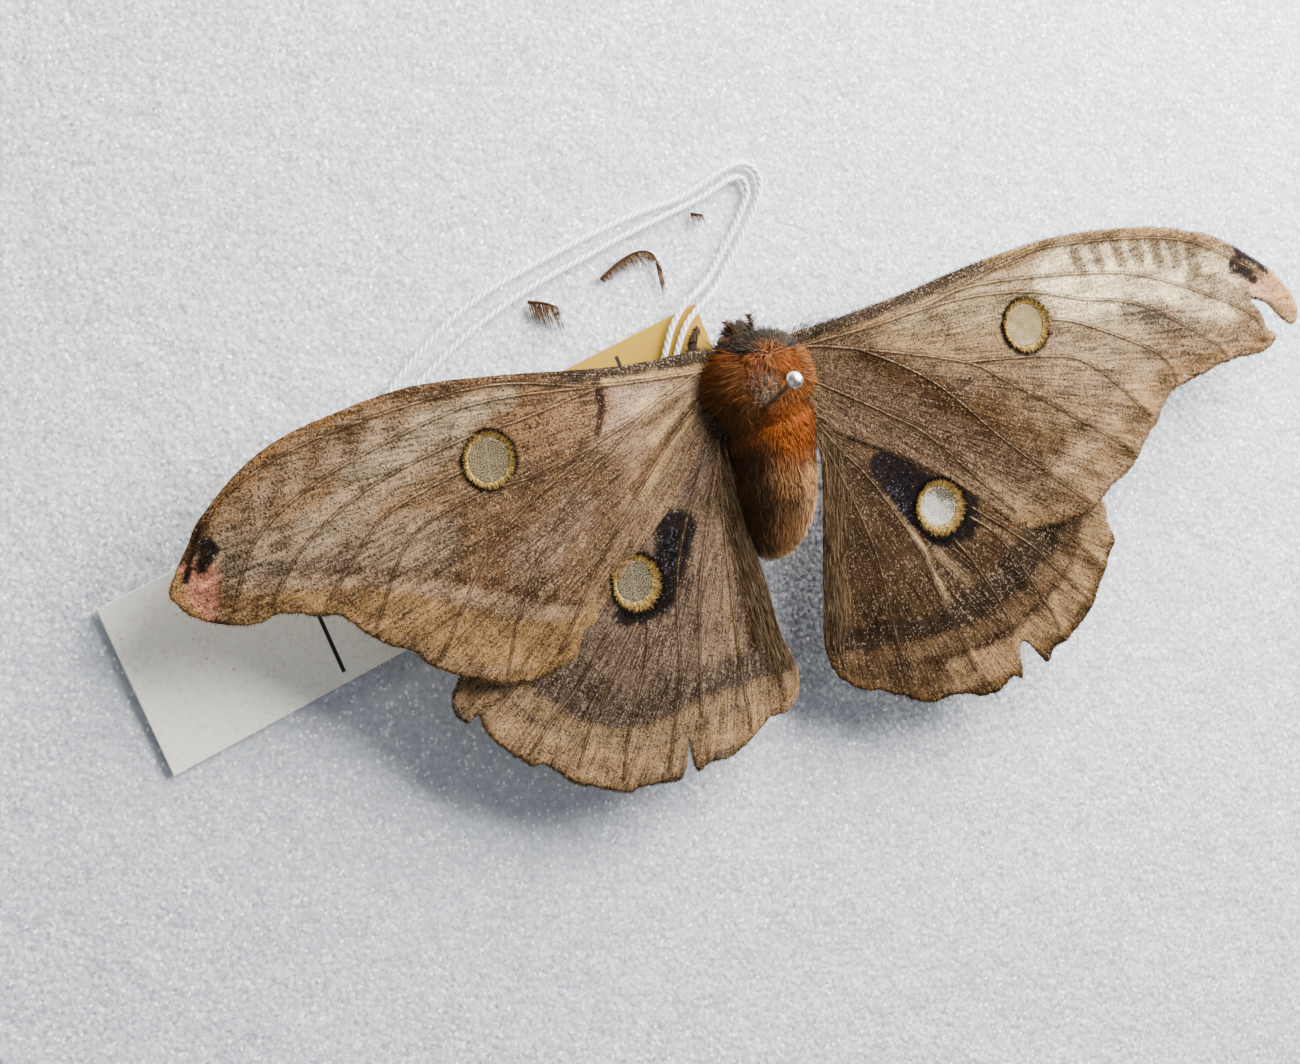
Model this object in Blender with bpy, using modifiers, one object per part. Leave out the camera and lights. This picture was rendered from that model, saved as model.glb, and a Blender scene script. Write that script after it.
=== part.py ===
"""A polyphemus moth, spread and pinned on a block of white foam, with its string tag, life size.

Sizes are in millimetres. The block's underside is z = 0 and its middle is the origin. The moth has a
frame of its own, with x to its right wing, y to its head and the middle of its thorax at (0, 0); the
tag, its string and the broken feelers are placed in that frame too. MOTH_AT and MOTH_TURN set the
whole of it on the block.
"""
import math
import random

import bmesh
import bpy
from mathutils import Matrix, Vector, geometry

MM = 0.001
GAP = 0.3                                   # clear space between pieces that touch
ROOM = GAP + 0.05                           # the same round a faceted egg, whose flats lie lower

FOAM_SIZE = (162.0, 130.0, 10.0)
FOAM_CORNER = 3.0
MOTH_AT = (0.4, 14.6)
MOTH_TURN = math.radians(10.5)
FOAM_TOP = FOAM_SIZE[2]

# Body. The thorax is an egg, the abdomen a row of rings, both with their axes along y.
THORAX_CENTRE = (0.0, -0.6, 18.5)
THORAX_RADII = (5.7, 6.8, 5.2)
EGG_FULLNESS = 0.85                         # 1 is an ellipsoid, and less is fuller
HEAD_CENTRE = (-0.3, 5.9, 16.3)
HEAD_RADIUS = 2.5
EYE_RADIUS = 1.1
EYE_OFFSET = (1.9, 0.7, -0.3)               # from the head's centre, mirrored
ABDOMEN_RINGS = [                           # y, x, z, half width, half height
    (-5.0, 0.2, 18.1, 3.2, 3.2),
    (-6.6, 0.3, 18.0, 4.2, 4.0),
    (-9.4, 0.4, 17.8, 4.4, 4.2),
    (-12.0, 0.2, 17.4, 4.0, 3.8),
    (-14.4, 0.0, 17.0, 3.3, 3.1),
    (-16.4, -0.2, 16.7, 2.4, 2.3),
    (-17.6, -0.3, 16.6, 1.3, 1.3),
]
ABDOMEN_GROOVE = 0.15                       # how far each ring's joint draws in
ABDOMEN_SWELL = 0.1                         # and how far it swells between two joints

# Fur: long locks are flat, tapered tufts rooted under the surface. On the thorax a row stands at one
# y and fans over the back: y, half fan in degrees, count, length, width, thickness, and its heading as
# shares of outward, across and forward.
LOCK_SINK = 0.9
LOCK_ROOT_WIDTH = 0.75                      # share of its width that a lock has at its root
LOCK_STATIONS = ((0.35, 1.0), (0.72, 0.62))     # shares of its length and of its width
LOCK_TURN = 3.0                             # how far a lock strays round the body, in degrees
LOCK_STRAY = 0.2                            # and along it
LOCK_LENGTHS = (0.85, 1.12)                 # shortest and longest share of a row's length
REAR_SWEEP, SHOULDER_SWEEP, TAIL_SWEEP = -0.25, -0.1, -0.3     # how far the tips bend down
THORAX_ROWS = {
    "collar_front": (4.6, 50, 8, 2.8, 2.3, 0.8, (0.16, 0.25, 0.9)),
    "collar_back": (2.8, 58, 9, 3.4, 2.4, 0.7, (0.18, 0.5, 0.6)),
    "rear_upper": (-3.4, 60, 8, 4.0, 2.5, 0.7, (0.12, 0.25, -0.9)),
    "rear_lower": (-5.2, 62, 7, 4.2, 2.4, 0.7, (0.12, 0.2, -0.9)),
}
SHOULDER_ROWS = ((3.0, 56), (1.6, 60), (0.2, 62), (-1.2, 61), (-2.6, 58))
SHOULDER_LOCK = (4.8, 2.3, 0.7)             # length, width, thickness
SHOULDER_HEADING = (0.84, -0.5, -0.08)      # across, forward and up
SHOULDER_FAN = 0.125                        # how much more forward for each millimetre forward
SHOULDER_LENGTHS = (0.9, 1.1)
BELLY_ROWS = (3.0, 1.2, -1.4)
BELLY_LOCK = (1.9, 1.8, 0.9)
BELLY_HEADING = (0.45, -0.9)                # shares of outward and of forward
TAIL_LOCKS = (9, 3.0, 1.3, 0.8)             # count, length, width, thickness
TAIL_RING = (-15.8, -0.15, 16.8, 1.6)       # y, x, z and radius of the ring they grow from
TAIL_FLARE = 0.05
TAIL_UNEVEN = 0.12                          # how much longer or shorter the brush's locks are
TAIL_ROOM = ((-18.6, -0.3, 16.5, 1.9, 1.9), (-20.2, -0.3, 16.4, 1.0, 1.0))
WING_ROOM_Z = (16.4, 20.35)                 # the layer that locks leave clear for the wings
WING_ROOM_WIDTH = 30.0

# Pin: it enters the thorax left of its middle and leans to the head.
PIN_ENTRY = (-1.9, -1.0, 23.4)
PIN_LEAN = (-0.31, 2.40, 6.57)
PIN_SHAFT = 0.35
PIN_HEAD = (0.95, 0.75)                     # radius and half height
PIN_ABOVE = 7.0                             # from the entry to the middle of its head
PIN_LENGTH = 30.0
PIN_POINT = 3.5                             # the tapered stretch at its lower end
PIN_BORE_TOP = 3.0                          # the bore starts this far above the entry

# Wings: mid-surface heights, thicknesses and the way the spread wings rise and droop.
FORE_LEVEL = 19.3
HIND_LEVEL = 17.5
MEMBRANE = 0.5
VEIN = 0.9
VEIN_HALF_WIDTH = (0.5, 0.25)               # at the root and at the tip
WING_ARCH = 1.0
WING_HALF_SPAN = 72.0
TIP_DROOP_FROM = 46.0
TIP_DROOP_LENGTH = 25.0
TIP_DROOP = (1.2, 2.4)                      # left and right wing, that far beyond
HIND_DROOP_FROM = -14.0
HIND_DROOP_LENGTH = 20.0
HIND_EDGE_DROOP = 1.2
FORE_EYE_RADIUS = 2.8
HIND_EYE_RADIUS = 3.0
EYE_SIDES = 20
RIM_STEP, VEIN_STEP = 2.2, 4.5              # spacing of the points along rims and veins
SHEET_SPACING = 8.0                         # and of those between them
SHEET_CLEAR = 1.5                           # which keep this far from rims and veins
EYE_CLEAR = 0.15                            # how far veins stop short of an eyespot's gap

FOREWING_LEFT = [
    (-3.0, 4.4), (-6.7, 5.7), (-13.9, 5.6), (-19.0, 5.8), (-32.7, 7.1), (-41.5, 7.3), (-50.4, 5.8),
    (-54.8, 4.6), (-59.3, 2.4), (-64.2, -1.8), (-65.8, -4.2), (-68.1, -7.9), (-67.6, -9.5),
    (-65.8, -11.3), (-60.8, -12.9), (-57.8, -12.3), (-53.9, -13.3), (-51.6, -13.8), (-48.6, -16.6),
    (-45.1, -18.5), (-43.3, -20.3), (-38.1, -23.0), (-32.1, -24.4), (-26.7, -23.2), (-23.5, -20.5),
    (-18.7, -15.1), (-13.0, -10.3), (-9.6, -6.7), (-7.0, -3.5), (-5.5, -1.2), (-3.0, -0.8),
]
FOREWING_RIGHT = [
    (3.0, 4.6), (4.9, 5.8), (8.0, 6.2), (18.3, 7.8), (29.0, 9.9), (39.9, 11.1), (51.0, 10.5),
    (56.9, 9.4), (62.2, 7.8), (67.5, 5.0), (72.2, 1.7), (74.4, -2.0), (72.9, -3.7), (69.1, -0.6),
    (66.4, 0.1), (67.8, -1.4), (68.6, -3.5), (70.1, -4.8), (67.5, -5.9), (60.3, -6.4), (55.0, -7.6),
    (52.3, -8.2), (49.3, -11.3), (47.6, -12.7), (44.8, -16.0), (42.2, -17.1), (39.9, -18.7),
    (37.5, -19.9), (31.4, -20.4), (28.6, -19.5), (24.1, -16.5), (18.5, -12.0), (12.2, -8.2),
    (9.4, -6.3), (7.3, -4.1), (5.3, -1.5), (3.0, -0.8),
]
HINDWING_LEFT = [
    (-2.6, -3.5), (-4.3, -4.7), (-3.9, -12.3), (-2.7, -17.9), (-1.4, -25.2), (-0.1, -28.2),
    (0.4, -31.1), (-0.3, -33.1), (-1.7, -34.2), (-3.6, -34.4), (-7.7, -36.8), (-9.6, -37.5),
    (-11.8, -37.5), (-13.5, -38.0), (-14.2, -34.3), (-14.9, -37.8), (-16.2, -38.5), (-20.6, -38.1),
    (-21.8, -38.6), (-25.3, -37.0), (-28.3, -35.9), (-31.3, -33.3), (-33.0, -33.0), (-35.8, -30.6),
    (-37.7, -28.1), (-38.1, -26.7), (-39.3, -27.4), (-40.4, -26.2), (-40.4, -24.3), (-38.8, -21.3),
    (-36.6, -18.7), (-31.2, -14.0), (-23.1, -8.3), (-15.0, -3.4), (-7.9, 0.2), (-3.0, 0.4),
]
HINDWING_RIGHT = [
    (3.0, -4.0), (5.6, -5.0), (6.7, -6.1), (6.3, -10.3), (5.6, -14.6), (4.4, -23.1), (3.9, -27.4),
    (4.2, -29.9), (5.6, -32.2), (7.8, -33.6), (10.6, -34.4), (16.1, -36.8), (20.0, -36.7),
    (22.8, -37.5), (25.2, -37.4), (27.1, -36.2), (28.5, -36.5), (28.5, -32.9), (29.7, -32.9),
    (31.8, -35.6), (33.1, -34.1), (35.1, -33.3), (38.3, -30.6), (39.6, -28.8), (41.2, -26.0),
    (42.7, -23.7), (41.9, -21.5), (41.5, -18.9), (37.9, -13.9), (29.5, -8.3), (19.9, -3.7),
    (11.8, -0.9), (3.0, 0.2),
]
FORE_VEINS_LEFT = [
    [(-4.5, 3.4), (-7.3, 3.5), (-19.3, 4.0), (-32.8, 6.1), (-50.7, 4.1), (-61.2, 0.2), (-65.0, -4.6)],
    [(-19.3, 4.0), (-32.0, 4.6), (-40.0, 3.4), (-51.5, -0.1), (-59.0, -4.7), (-62.4, -11.2)],
    [(-19.3, 4.0), (-29.0, 2.1), (-36.0, 1.2), (-47.0, -1.9), (-54.8, -6.7), (-58.7, -11.5)],
    [(-36.1, -1.8), (-44.2, -4.2), (-47.9, -6.8), (-53.2, -12.5)],
    [(-7.3, 3.5), (-17.8, -0.6), (-27.2, -3.6), (-34.7, -4.5), (-43.2, -7.6), (-48.3, -15.6)],
    [(-20.4, -1.5), (-30.7, -7.1), (-35.5, -11.1), (-42.1, -20.1)],
    [(-12.5, 1.6), (-22.8, -5.2), (-30.6, -13.6), (-35.0, -23.1)],
    [(-4.5, 1.2), (-7.2, 0.5), (-13.8, -5.0), (-22.1, -13.7), (-28.2, -22.4)],
]
FORE_VEINS_RIGHT = [
    [(3.8, 4.0), (5.8, 4.3), (18.5, 5.6), (31.4, 9.0), (39.7, 10.1), (56.6, 8.3), (69.1, 2.6)],
    [(21.1, 6.1), (27.8, 7.4), (41.8, 6.6), (51.4, 4.8), (64.5, -0.6), (67.7, -3.4)],
    [(18.5, 5.6), (26.0, 6.2), (34.0, 5.7), (41.3, 3.8), (49.4, 1.9), (60.1, -4.3), (61.1, -5.7)],
    [(37.0, 2.2), (41.6, 0.8), (51.1, -4.0), (52.9, -7.2)],
    [(25.0, -0.7), (35.5, -1.7), (41.3, -3.6), (48.4, -10.5)],
    [(3.8, 2.6), (5.8, 4.1), (12.3, 2.8), (25.0, -0.7), (30.4, -3.9), (41.9, -11.5), (45.2, -14.1)],
    [(12.3, 2.8), (20.3, -1.9), (29.2, -10.3), (38.5, -18.7)],
    [(4.0, 1.2), (6.0, 0.7), (14.8, -4.5), (20.4, -8.5), (29.4, -18.0)],
]
HIND_VEINS_LEFT = [
    [(-3.8, -3.4), (-4.7, -5.2), (-3.8, -16.6), (-3.2, -23.2), (-1.8, -32.8)],
    [(-4.4, -3.2), (-5.6, -5.0), (-6.9, -18.7), (-6.9, -25.2), (-6.5, -35.1)],
    [(-5.6, -5.0), (-10.4, -18.0), (-11.5, -24.3), (-12.5, -32.4)],
    [(-7.1, -4.7), (-12.6, -15.6), (-14.6, -27.9), (-17.0, -37.3)],
    [(-17.3, -21.0), (-18.3, -25.1), (-21.3, -32.4), (-22.4, -37.0)],
    [(-18.6, -21.0), (-21.9, -25.3), (-25.3, -29.9), (-27.6, -34.7)],
    [(-21.0, -20.0), (-26.8, -26.4), (-30.4, -29.3), (-32.9, -32.0)],
    [(-6.0, -2.0), (-17.0, -9.0), (-28.1, -19.0), (-34.5, -25.2), (-37.5, -25.8)],
]
HIND_VEINS_RIGHT = [
    [(4.4, -3.6), (6.8, -7.7), (6.3, -14.7), (5.4, -26.6), (5.9, -31.1)],
    [(5.0, -3.4), (7.4, -7.3), (11.0, -17.8), (12.3, -26.8), (13.5, -34.3)],
    [(6.0, -3.2), (8.5, -6.9), (12.1, -11.4), (16.9, -20.2), (18.7, -25.3), (22.2, -34.4)],
    [(21.3, -19.6), (23.4, -22.6), (26.7, -28.6), (27.5, -31.6)],
    [(23.8, -17.6), (27.3, -20.8), (32.7, -29.7), (33.6, -32.2)],
    [(24.2, -16.6), (31.1, -22.1), (34.8, -26.2), (38.0, -29.6)],
    [(6.0, -1.8), (17.0, -6.8), (29.0, -15.6), (36.4, -22.1), (40.1, -26.0)],
]
EYESPOTS = {
    "forewing_left": (-33.3, -1.3), "forewing_right": (33.5, 2.1),
    "hindwing_left": (-17.9, -17.0), "hindwing_right": (20.2, -15.9),
}

# Legs, folded under the thorax: a right leg's joints, mirrored for the left one.
LEG_JOINTS = {
    "front": [(2.0, 2.6, 15.6), (4.2, 3.6, 13.2), (3.6, 6.4, 12.3), (2.3, 8.0, 11.9)],
    "middle": [(2.2, -0.6, 14.8), (5.2, -1.2, 12.9), (6.4, -3.8, 12.4), (5.8, -6.0, 12.0)],
    "hind": [(2.1, -4.0, 15.6), (4.6, -5.4, 13.3), (5.4, -9.0, 12.4), (4.3, -12.0, 12.0)],
}
LEG_RADII = (0.8, 0.75, 0.55, 0.35)

# Feelers: broken stubs on the head, and three scraps that lie on the foam.
STUB_LEFT = [(-1.3, 6.6, 17.4), (-2.2, 7.9, 18.6), (-3.1, 8.6, 19.0)]
STUB_RIGHT = [(0.6, 6.8, 17.6), (0.3, 8.2, 18.8), (-0.1, 9.4, 19.2)]
STUB_RADII = (0.45, 0.35, 0.25)
STUB_RAY = (1.1, 0.35)                      # across and forward
STUB_RAY_LIFT = 0.1
RAY_RADII = (0.27, 0.12)
RAY_SPACING = 0.78
SCRAPS = {
    "a": ([(-21.3, 13.6), (-19.5, 13.2), (-18.1, 12.6)], (-0.1, -1.0), (3.0, 3.6)),
    "b": ([(-12.4, 14.7), (-9.6, 16.3), (-7.2, 16.9), (-5.7, 16.2), (-5.5, 14.1)], (0.25, -1.0), (0.7, 2.8)),
    "c": ([(-0.4, 20.0), (1.0, 19.7)], (-0.2, -1.0), (1.2, 0.9)),
}
SCRAP_RADIUS = 0.4
SCRAP_END = 0.6                             # share of that radius at a scrap's ends
COMB_SWING = 0.12                           # how far the rays stray to the sides

# Tag: a card that the pin pierces, on a doubled string.
TAG_SIZE = (74.0, 18.4, 0.5)
TAG_CENTRE = (-35.1, -8.2)
TAG_TURN = math.radians(15.2)
TAG_HOLE = (-7.9, 1.5)
TAG_HOLE_RADIUS = 1.6
TAG_Z = FOAM_TOP + GAP
STRING = 0.7
STRING_LOW = FOAM_TOP + GAP + STRING / 2
STRING_HIGH = TAG_Z + TAG_SIZE[2] + GAP + STRING / 2
STRING_STEP = 1.7
STRING_OUTER = [
    (-7.35, 1.3, STRING_LOW + 0.1), (-6.7, 3.0, STRING_HIGH), (-5.5, 5.1, STRING_HIGH),
    (-4.4, 7.2, STRING_HIGH), (-3.0, 9.0, STRING_HIGH), (-0.9, 10.5, STRING_HIGH),
    (1.1, 11.9, 11.0), (3.1, 14.1, STRING_LOW), (5.3, 16.7, STRING_LOW), (7.1, 19.1, STRING_LOW),
    (8.4, 21.3, STRING_LOW), (8.5, 23.2, STRING_LOW), (6.9, 24.5, STRING_LOW),
    (4.1, 24.0, STRING_LOW), (-1.3, 21.9, STRING_LOW), (-6.4, 21.0, STRING_LOW),
    (-11.5, 19.8, STRING_LOW), (-16.5, 18.4, STRING_LOW), (-21.6, 16.8, STRING_LOW),
    (-26.6, 15.0, STRING_LOW), (-31.7, 12.3, STRING_LOW), (-37.0, 8.4, STRING_LOW),
    (-39.6, 5.9, STRING_LOW), (-41.3, 4.2, STRING_LOW),
]
STRING_INNER = [
    (-8.45, 1.7, STRING_LOW + 0.1), (-7.9, 3.5, STRING_HIGH), (-6.8, 5.5, STRING_HIGH),
    (-5.7, 7.8, STRING_HIGH), (-4.1, 9.9, STRING_HIGH), (-2.0, 11.5, STRING_HIGH),
    (0.1, 12.8, 11.0), (2.1, 14.9, STRING_LOW), (4.2, 17.4, STRING_LOW), (5.9, 19.7, STRING_LOW),
    (6.9, 21.6, STRING_LOW), (6.5, 22.9, STRING_LOW), (4.6, 22.9, STRING_LOW),
    (1.1, 21.5, STRING_LOW), (-4.1, 20.1, STRING_LOW), (-9.2, 18.7, STRING_LOW),
    (-14.3, 17.1, STRING_LOW), (-19.4, 15.5, STRING_LOW), (-24.4, 13.5, STRING_LOW),
    (-29.6, 10.9, STRING_LOW), (-34.8, 7.5, STRING_LOW), (-38.2, 4.9, STRING_LOW),
    (-40.3, 3.2, STRING_LOW),
]
KNOT_CENTRE = (-41.9, 2.6, FOAM_TOP + GAP + 0.9)
KNOT_RADII = (1.3, 1.1, 0.9)


def smooth_path(points, step, closed=False):
    """Points every step or so along the Catmull-Rom curve through the given ones."""
    points = [Vector(p) for p in points]
    count = len(points)
    spans = count if closed else count - 1
    path = []
    for i in range(spans):
        if closed:
            a, b, c, d = (points[(i + k) % count] for k in (-1, 0, 1, 2))
        else:
            a, b, c, d = points[max(i - 1, 0)], points[i], points[i + 1], points[min(i + 2, count - 1)]
        pieces = max(1, round((c - b).length / step))
        for j in range(pieces):
            t = j / pieces
            path.append(0.5 * (2 * b + (c - a) * t + (2 * a - 5 * b + 4 * c - d) * t * t
                               + (3 * b - a - 3 * c + d) * t ** 3))
    if not closed:
        path.append(points[-1])
    return path


def even_path(points, step):
    """The same curve with its points an equal distance apart."""
    fine = smooth_path(points, step / 6)
    lengths = [0.0]
    for a, b in zip(fine, fine[1:]):
        lengths.append(lengths[-1] + (b - a).length)
    pieces = max(1, round(lengths[-1] / step))
    path = []
    k = 0
    for i in range(pieces + 1):
        want = lengths[-1] * i / pieces
        while k < len(fine) - 2 and lengths[k + 1] < want:
            k += 1
        share = (want - lengths[k]) / (lengths[k + 1] - lengths[k])
        path.append(fine[k].lerp(fine[k + 1], share))
    return path


def wing_rise(x, y):
    """Height of a spread wing above its level: an arch, a drooping tip and a drooping hind edge."""
    rise = WING_ARCH * math.sin(math.pi * min(abs(x), WING_HALF_SPAN) / WING_HALF_SPAN)
    beyond = max(0.0, (abs(x) - TIP_DROOP_FROM) / TIP_DROOP_LENGTH)
    rise -= TIP_DROOP[x > 0] * beyond ** 2
    behind = max(0.0, (HIND_DROOP_FROM - y) / HIND_DROOP_LENGTH)
    return rise - HIND_EDGE_DROOP * behind ** 2


def new_material(name, colour, roughness, metallic=0.0):
    material = bpy.data.materials.new(name)
    material.use_nodes = True
    shader = material.node_tree.nodes["Principled BSDF"]
    shader.inputs["Base Color"].default_value = (*colour, 1.0)
    shader.inputs["Roughness"].default_value = roughness
    shader.inputs["Metallic"].default_value = metallic
    return material


class Bench:
    """The collections and the frame that every piece is set in."""

    def __init__(self):
        for old in list(bpy.data.objects):
            bpy.data.objects.remove(old, do_unlink=True)
        self.parts = bpy.data.collections.new("polyphemus_moth")
        self.cutters = bpy.data.collections.new("cutters")
        for collection in (self.parts, self.cutters):
            bpy.context.scene.collection.children.link(collection)
        self.frame = bpy.data.objects.new("moth_frame", None)
        self.frame.location = (MOTH_AT[0] * MM, MOTH_AT[1] * MM, 0.0)
        self.frame.rotation_euler = (0.0, 0.0, MOTH_TURN)
        self.parts.objects.link(self.frame)

    def piece(self, name, mesh, material, in_frame=True):
        mesh.materials.clear()
        mesh.materials.append(material)
        obj = bpy.data.objects.new(name, mesh)
        self.parts.objects.link(obj)
        if in_frame:
            obj.parent = self.frame
        mesh.shade_smooth()
        mesh.set_sharp_from_angle(angle=math.radians(35))
        return obj

    def cutter(self, name, mesh):
        obj = bpy.data.objects.new(name, mesh)
        self.cutters.objects.link(obj)
        obj.parent = self.frame
        obj.hide_render = True
        obj.display_type = "WIRE"
        return obj


def mesh_from(name, build):
    """A mesh made with bmesh in millimetres and stored in metres."""
    shape = bmesh.new()
    build(shape)
    bmesh.ops.scale(shape, vec=(MM, MM, MM), verts=shape.verts)
    mesh = bpy.data.meshes.new(name)
    shape.to_mesh(mesh)
    shape.free()
    return mesh


def cut(obj, *cutters):
    for cutter in cutters:
        change = obj.modifiers.new("cut_" + cutter.name, "BOOLEAN")
        change.operation = "DIFFERENCE"
        change.solver = "EXACT"
        change.object = cutter


def loft(name, rings, segments):
    """A closed body through elliptical rings (y, x, z, half width, half height), with pointed ends."""
    def build(shape):
        loops = []
        for y, x, z, wide, high in rings:
            loops.append([shape.verts.new((x + wide * math.cos(a), y, z + high * math.sin(a)))
                          for a in (2 * math.pi * k / segments for k in range(segments))])
        for near, far in zip(loops, loops[1:]):
            for k in range(segments):
                n = (k + 1) % segments
                shape.faces.new((near[k], near[n], far[n], far[k]))
        for loop in (loops[0], loops[-1]):
            shape.faces.new(loop)
        bmesh.ops.recalc_face_normals(shape, faces=shape.faces)
    return mesh_from(name, build)


def egg_rings(centre, radii, count, grow=0.0):
    """Rings of an egg whose axis is y, a little fuller than an ellipsoid."""
    rings = []
    for i in range(count):
        angle = math.pi * (i + 0.35) / (count - 0.3)
        fullness = math.sin(angle) ** EGG_FULLNESS
        rings.append((centre[1] + (radii[1] + grow) * math.cos(angle), centre[0], centre[2],
                      (radii[0] + grow) * fullness, (radii[2] + grow) * fullness))
    return rings


def abdomen_rings(grow=0.0):
    """The abdomen's rings, with a shallow groove at each joint."""
    rings = []
    spans = len(ABDOMEN_RINGS) - 1
    for i, (ring, following) in enumerate(zip(ABDOMEN_RINGS, ABDOMEN_RINGS[1:])):
        for share, groove in ((0.0, ABDOMEN_GROOVE), (0.5, 0.0)):
            y, x, z, wide, high = (p + (q - p) * share for p, q in zip(ring, following))
            swell = ABDOMEN_SWELL if share else 0.0
            draw = groove if 0 < i < spans else 0.0
            rings.append((y, x, z, wide + swell - draw + grow, high + swell - draw + grow))
    y, x, z, wide, high = ABDOMEN_RINGS[-1]
    rings.append((y, x, z, wide + grow, high + grow))
    rings.append((y - 0.5 - grow, x, z, 0.5 * wide + grow, 0.5 * high + grow))
    return rings


def tube(name, points, radii, resolution=1):
    """A round limb through its points, with capped ends, as one closed mesh."""
    curve = bpy.data.curves.new(name + "_line", "CURVE")
    curve.dimensions = "3D"
    curve.bevel_depth = MM
    curve.bevel_resolution = resolution
    curve.use_fill_caps = True
    spline = curve.splines.new("POLY")
    spline.points.add(len(points) - 1)
    for i, (target, point) in enumerate(zip(spline.points, points)):
        share = i / (len(points) - 1) * (len(radii) - 1)
        k = min(int(share), len(radii) - 2)
        target.co = (point[0] * MM, point[1] * MM, point[2] * MM, 1.0)
        target.radius = radii[k] + (radii[k + 1] - radii[k]) * (share - k)
    line = bpy.data.objects.new(name + "_line", curve)
    bpy.context.scene.collection.objects.link(line)
    bpy.context.view_layer.update()
    mesh = bpy.data.meshes.new_from_object(line.evaluated_get(bpy.context.evaluated_depsgraph_get()))
    bpy.data.objects.remove(line, do_unlink=True)
    bpy.data.curves.remove(curve)
    shape = bmesh.new()
    shape.from_mesh(mesh)
    bmesh.ops.remove_doubles(shape, verts=shape.verts, dist=0.00001)
    bmesh.ops.recalc_face_normals(shape, faces=shape.faces)
    shape.to_mesh(mesh)
    shape.free()
    return mesh


def rod_mesh(name, start, end, radius, sides=16):
    """A plain cylinder between two points."""
    start = Vector(start)
    axis = Vector(end) - start

    def build(shape):
        turn = axis.to_track_quat("Z", "Y").to_matrix().to_4x4()
        place = Matrix.Translation(start + axis / 2) @ turn
        bmesh.ops.create_cone(shape, cap_ends=True, segments=sides, radius1=radius, radius2=radius,
                              depth=axis.length, matrix=place)
    return mesh_from(name, build)


def lock(root, heading, up, length, width, thick, sweep=0.0):
    """A flat, tapered lock that starts under the surface and curls by sweep away from it."""
    root, heading = Vector(root), Vector(heading).normalized()
    across = heading.cross(Vector(up)).normalized()
    rise = across.cross(heading)

    def build(shape):
        loops = []
        stations = [(-LOCK_SINK, LOCK_ROOT_WIDTH)] + [(part * length, share) for part, share in LOCK_STATIONS]
        for along, share in stations:
            middle = root + heading * along + rise * sweep * max(0.0, along / length) ** 2
            loops.append([shape.verts.new(middle + across * side * share * width / 2
                                          + rise * lift * share * thick / 2)
                          for side, lift in ((1, 0), (0, 1), (-1, 0), (0, -1))])
        tip = shape.verts.new(root + heading * length + rise * sweep)
        for near, far in zip(loops, loops[1:]):
            for k in range(4):
                n = (k + 1) % 4
                shape.faces.new((near[k], near[n], far[n], far[k]))
        for k in range(4):
            shape.faces.new((loops[-1][k], loops[-1][(k + 1) % 4], tip))
        shape.faces.new(loops[0])
        bmesh.ops.recalc_face_normals(shape, faces=shape.faces)
    return mesh_from("lock", build)


def ray(start, end, sides=4):
    """One side branch of a feeler."""
    start = Vector(start)
    axis = Vector(end) - start

    def build(shape):
        turn = axis.to_track_quat("Z", "Y").to_matrix().to_4x4()
        bmesh.ops.create_cone(shape, cap_ends=True, segments=sides, radius1=RAY_RADII[0],
                              radius2=RAY_RADII[1], depth=axis.length,
                              matrix=Matrix.Translation(start + axis / 2) @ turn)
    return mesh_from("ray", build)


def keep_largest(mesh):
    """Drops every closed surface of a mesh but the one with the most volume."""
    shape = bmesh.new()
    shape.from_mesh(mesh)
    left = set(shape.faces)
    bodies = []
    while left:
        body, front = [], [left.pop()]
        while front:
            face = front.pop()
            body.append(face)
            for edge in face.edges:
                for other in edge.link_faces:
                    if other in left:
                        left.remove(other)
                        front.append(other)
        volume = 0.0
        for face in body:
            first = face.verts[0].co
            for a, b in zip(face.verts[1:], face.verts[2:]):
                volume += first.dot(a.co.cross(b.co)) / 6
        bodies.append((volume, body))
    bodies.sort(key=lambda entry: entry[0])
    for _, body in bodies[:-1]:
        bmesh.ops.delete(shape, geom=body, context="FACES")
    shape.to_mesh(mesh)
    shape.free()


def fuse(obj, pieces, trims=(), cutters=()):
    """Joins closed meshes to an object as one body. The trims cut the pieces, the cutters the whole."""
    growth = bpy.data.collections.new("growth")
    bpy.context.scene.collection.children.link(growth)
    for mesh in pieces:
        piece = bpy.data.objects.new("growth", mesh)
        piece.parent = obj.parent
        growth.objects.link(piece)
        cut(piece, *trims)
    union = obj.modifiers.new("grown", "BOOLEAN")
    union.operation = "UNION"
    union.solver = "EXACT"
    union.operand_type = "COLLECTION"
    union.collection = growth
    cut(obj, *cutters)
    bpy.context.view_layer.update()
    mesh = bpy.data.meshes.new_from_object(obj.evaluated_get(bpy.context.evaluated_depsgraph_get()))
    obj.modifiers.clear()
    material = obj.data.materials[0]
    obj.data = mesh
    mesh.materials.clear()
    mesh.materials.append(material)
    for piece in list(growth.objects):
        bpy.data.objects.remove(piece, do_unlink=True)
    bpy.data.collections.remove(growth)
    keep_largest(mesh)


def vein_distance(point, path, half_widths):
    """How far a point lies from a vein, in half widths of the vein there."""
    best = 1e9
    spans = len(path) - 1
    for i in range(spans):
        a, b = path[i], path[i + 1]
        along = b - a
        share = min(1.0, max(0.0, (point - a).dot(along) / along.length_squared))
        half = half_widths[0] + (half_widths[1] - half_widths[0]) * (i + share) / spans
        best = min(best, (point - a - along * share).length / half)
    return best


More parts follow.
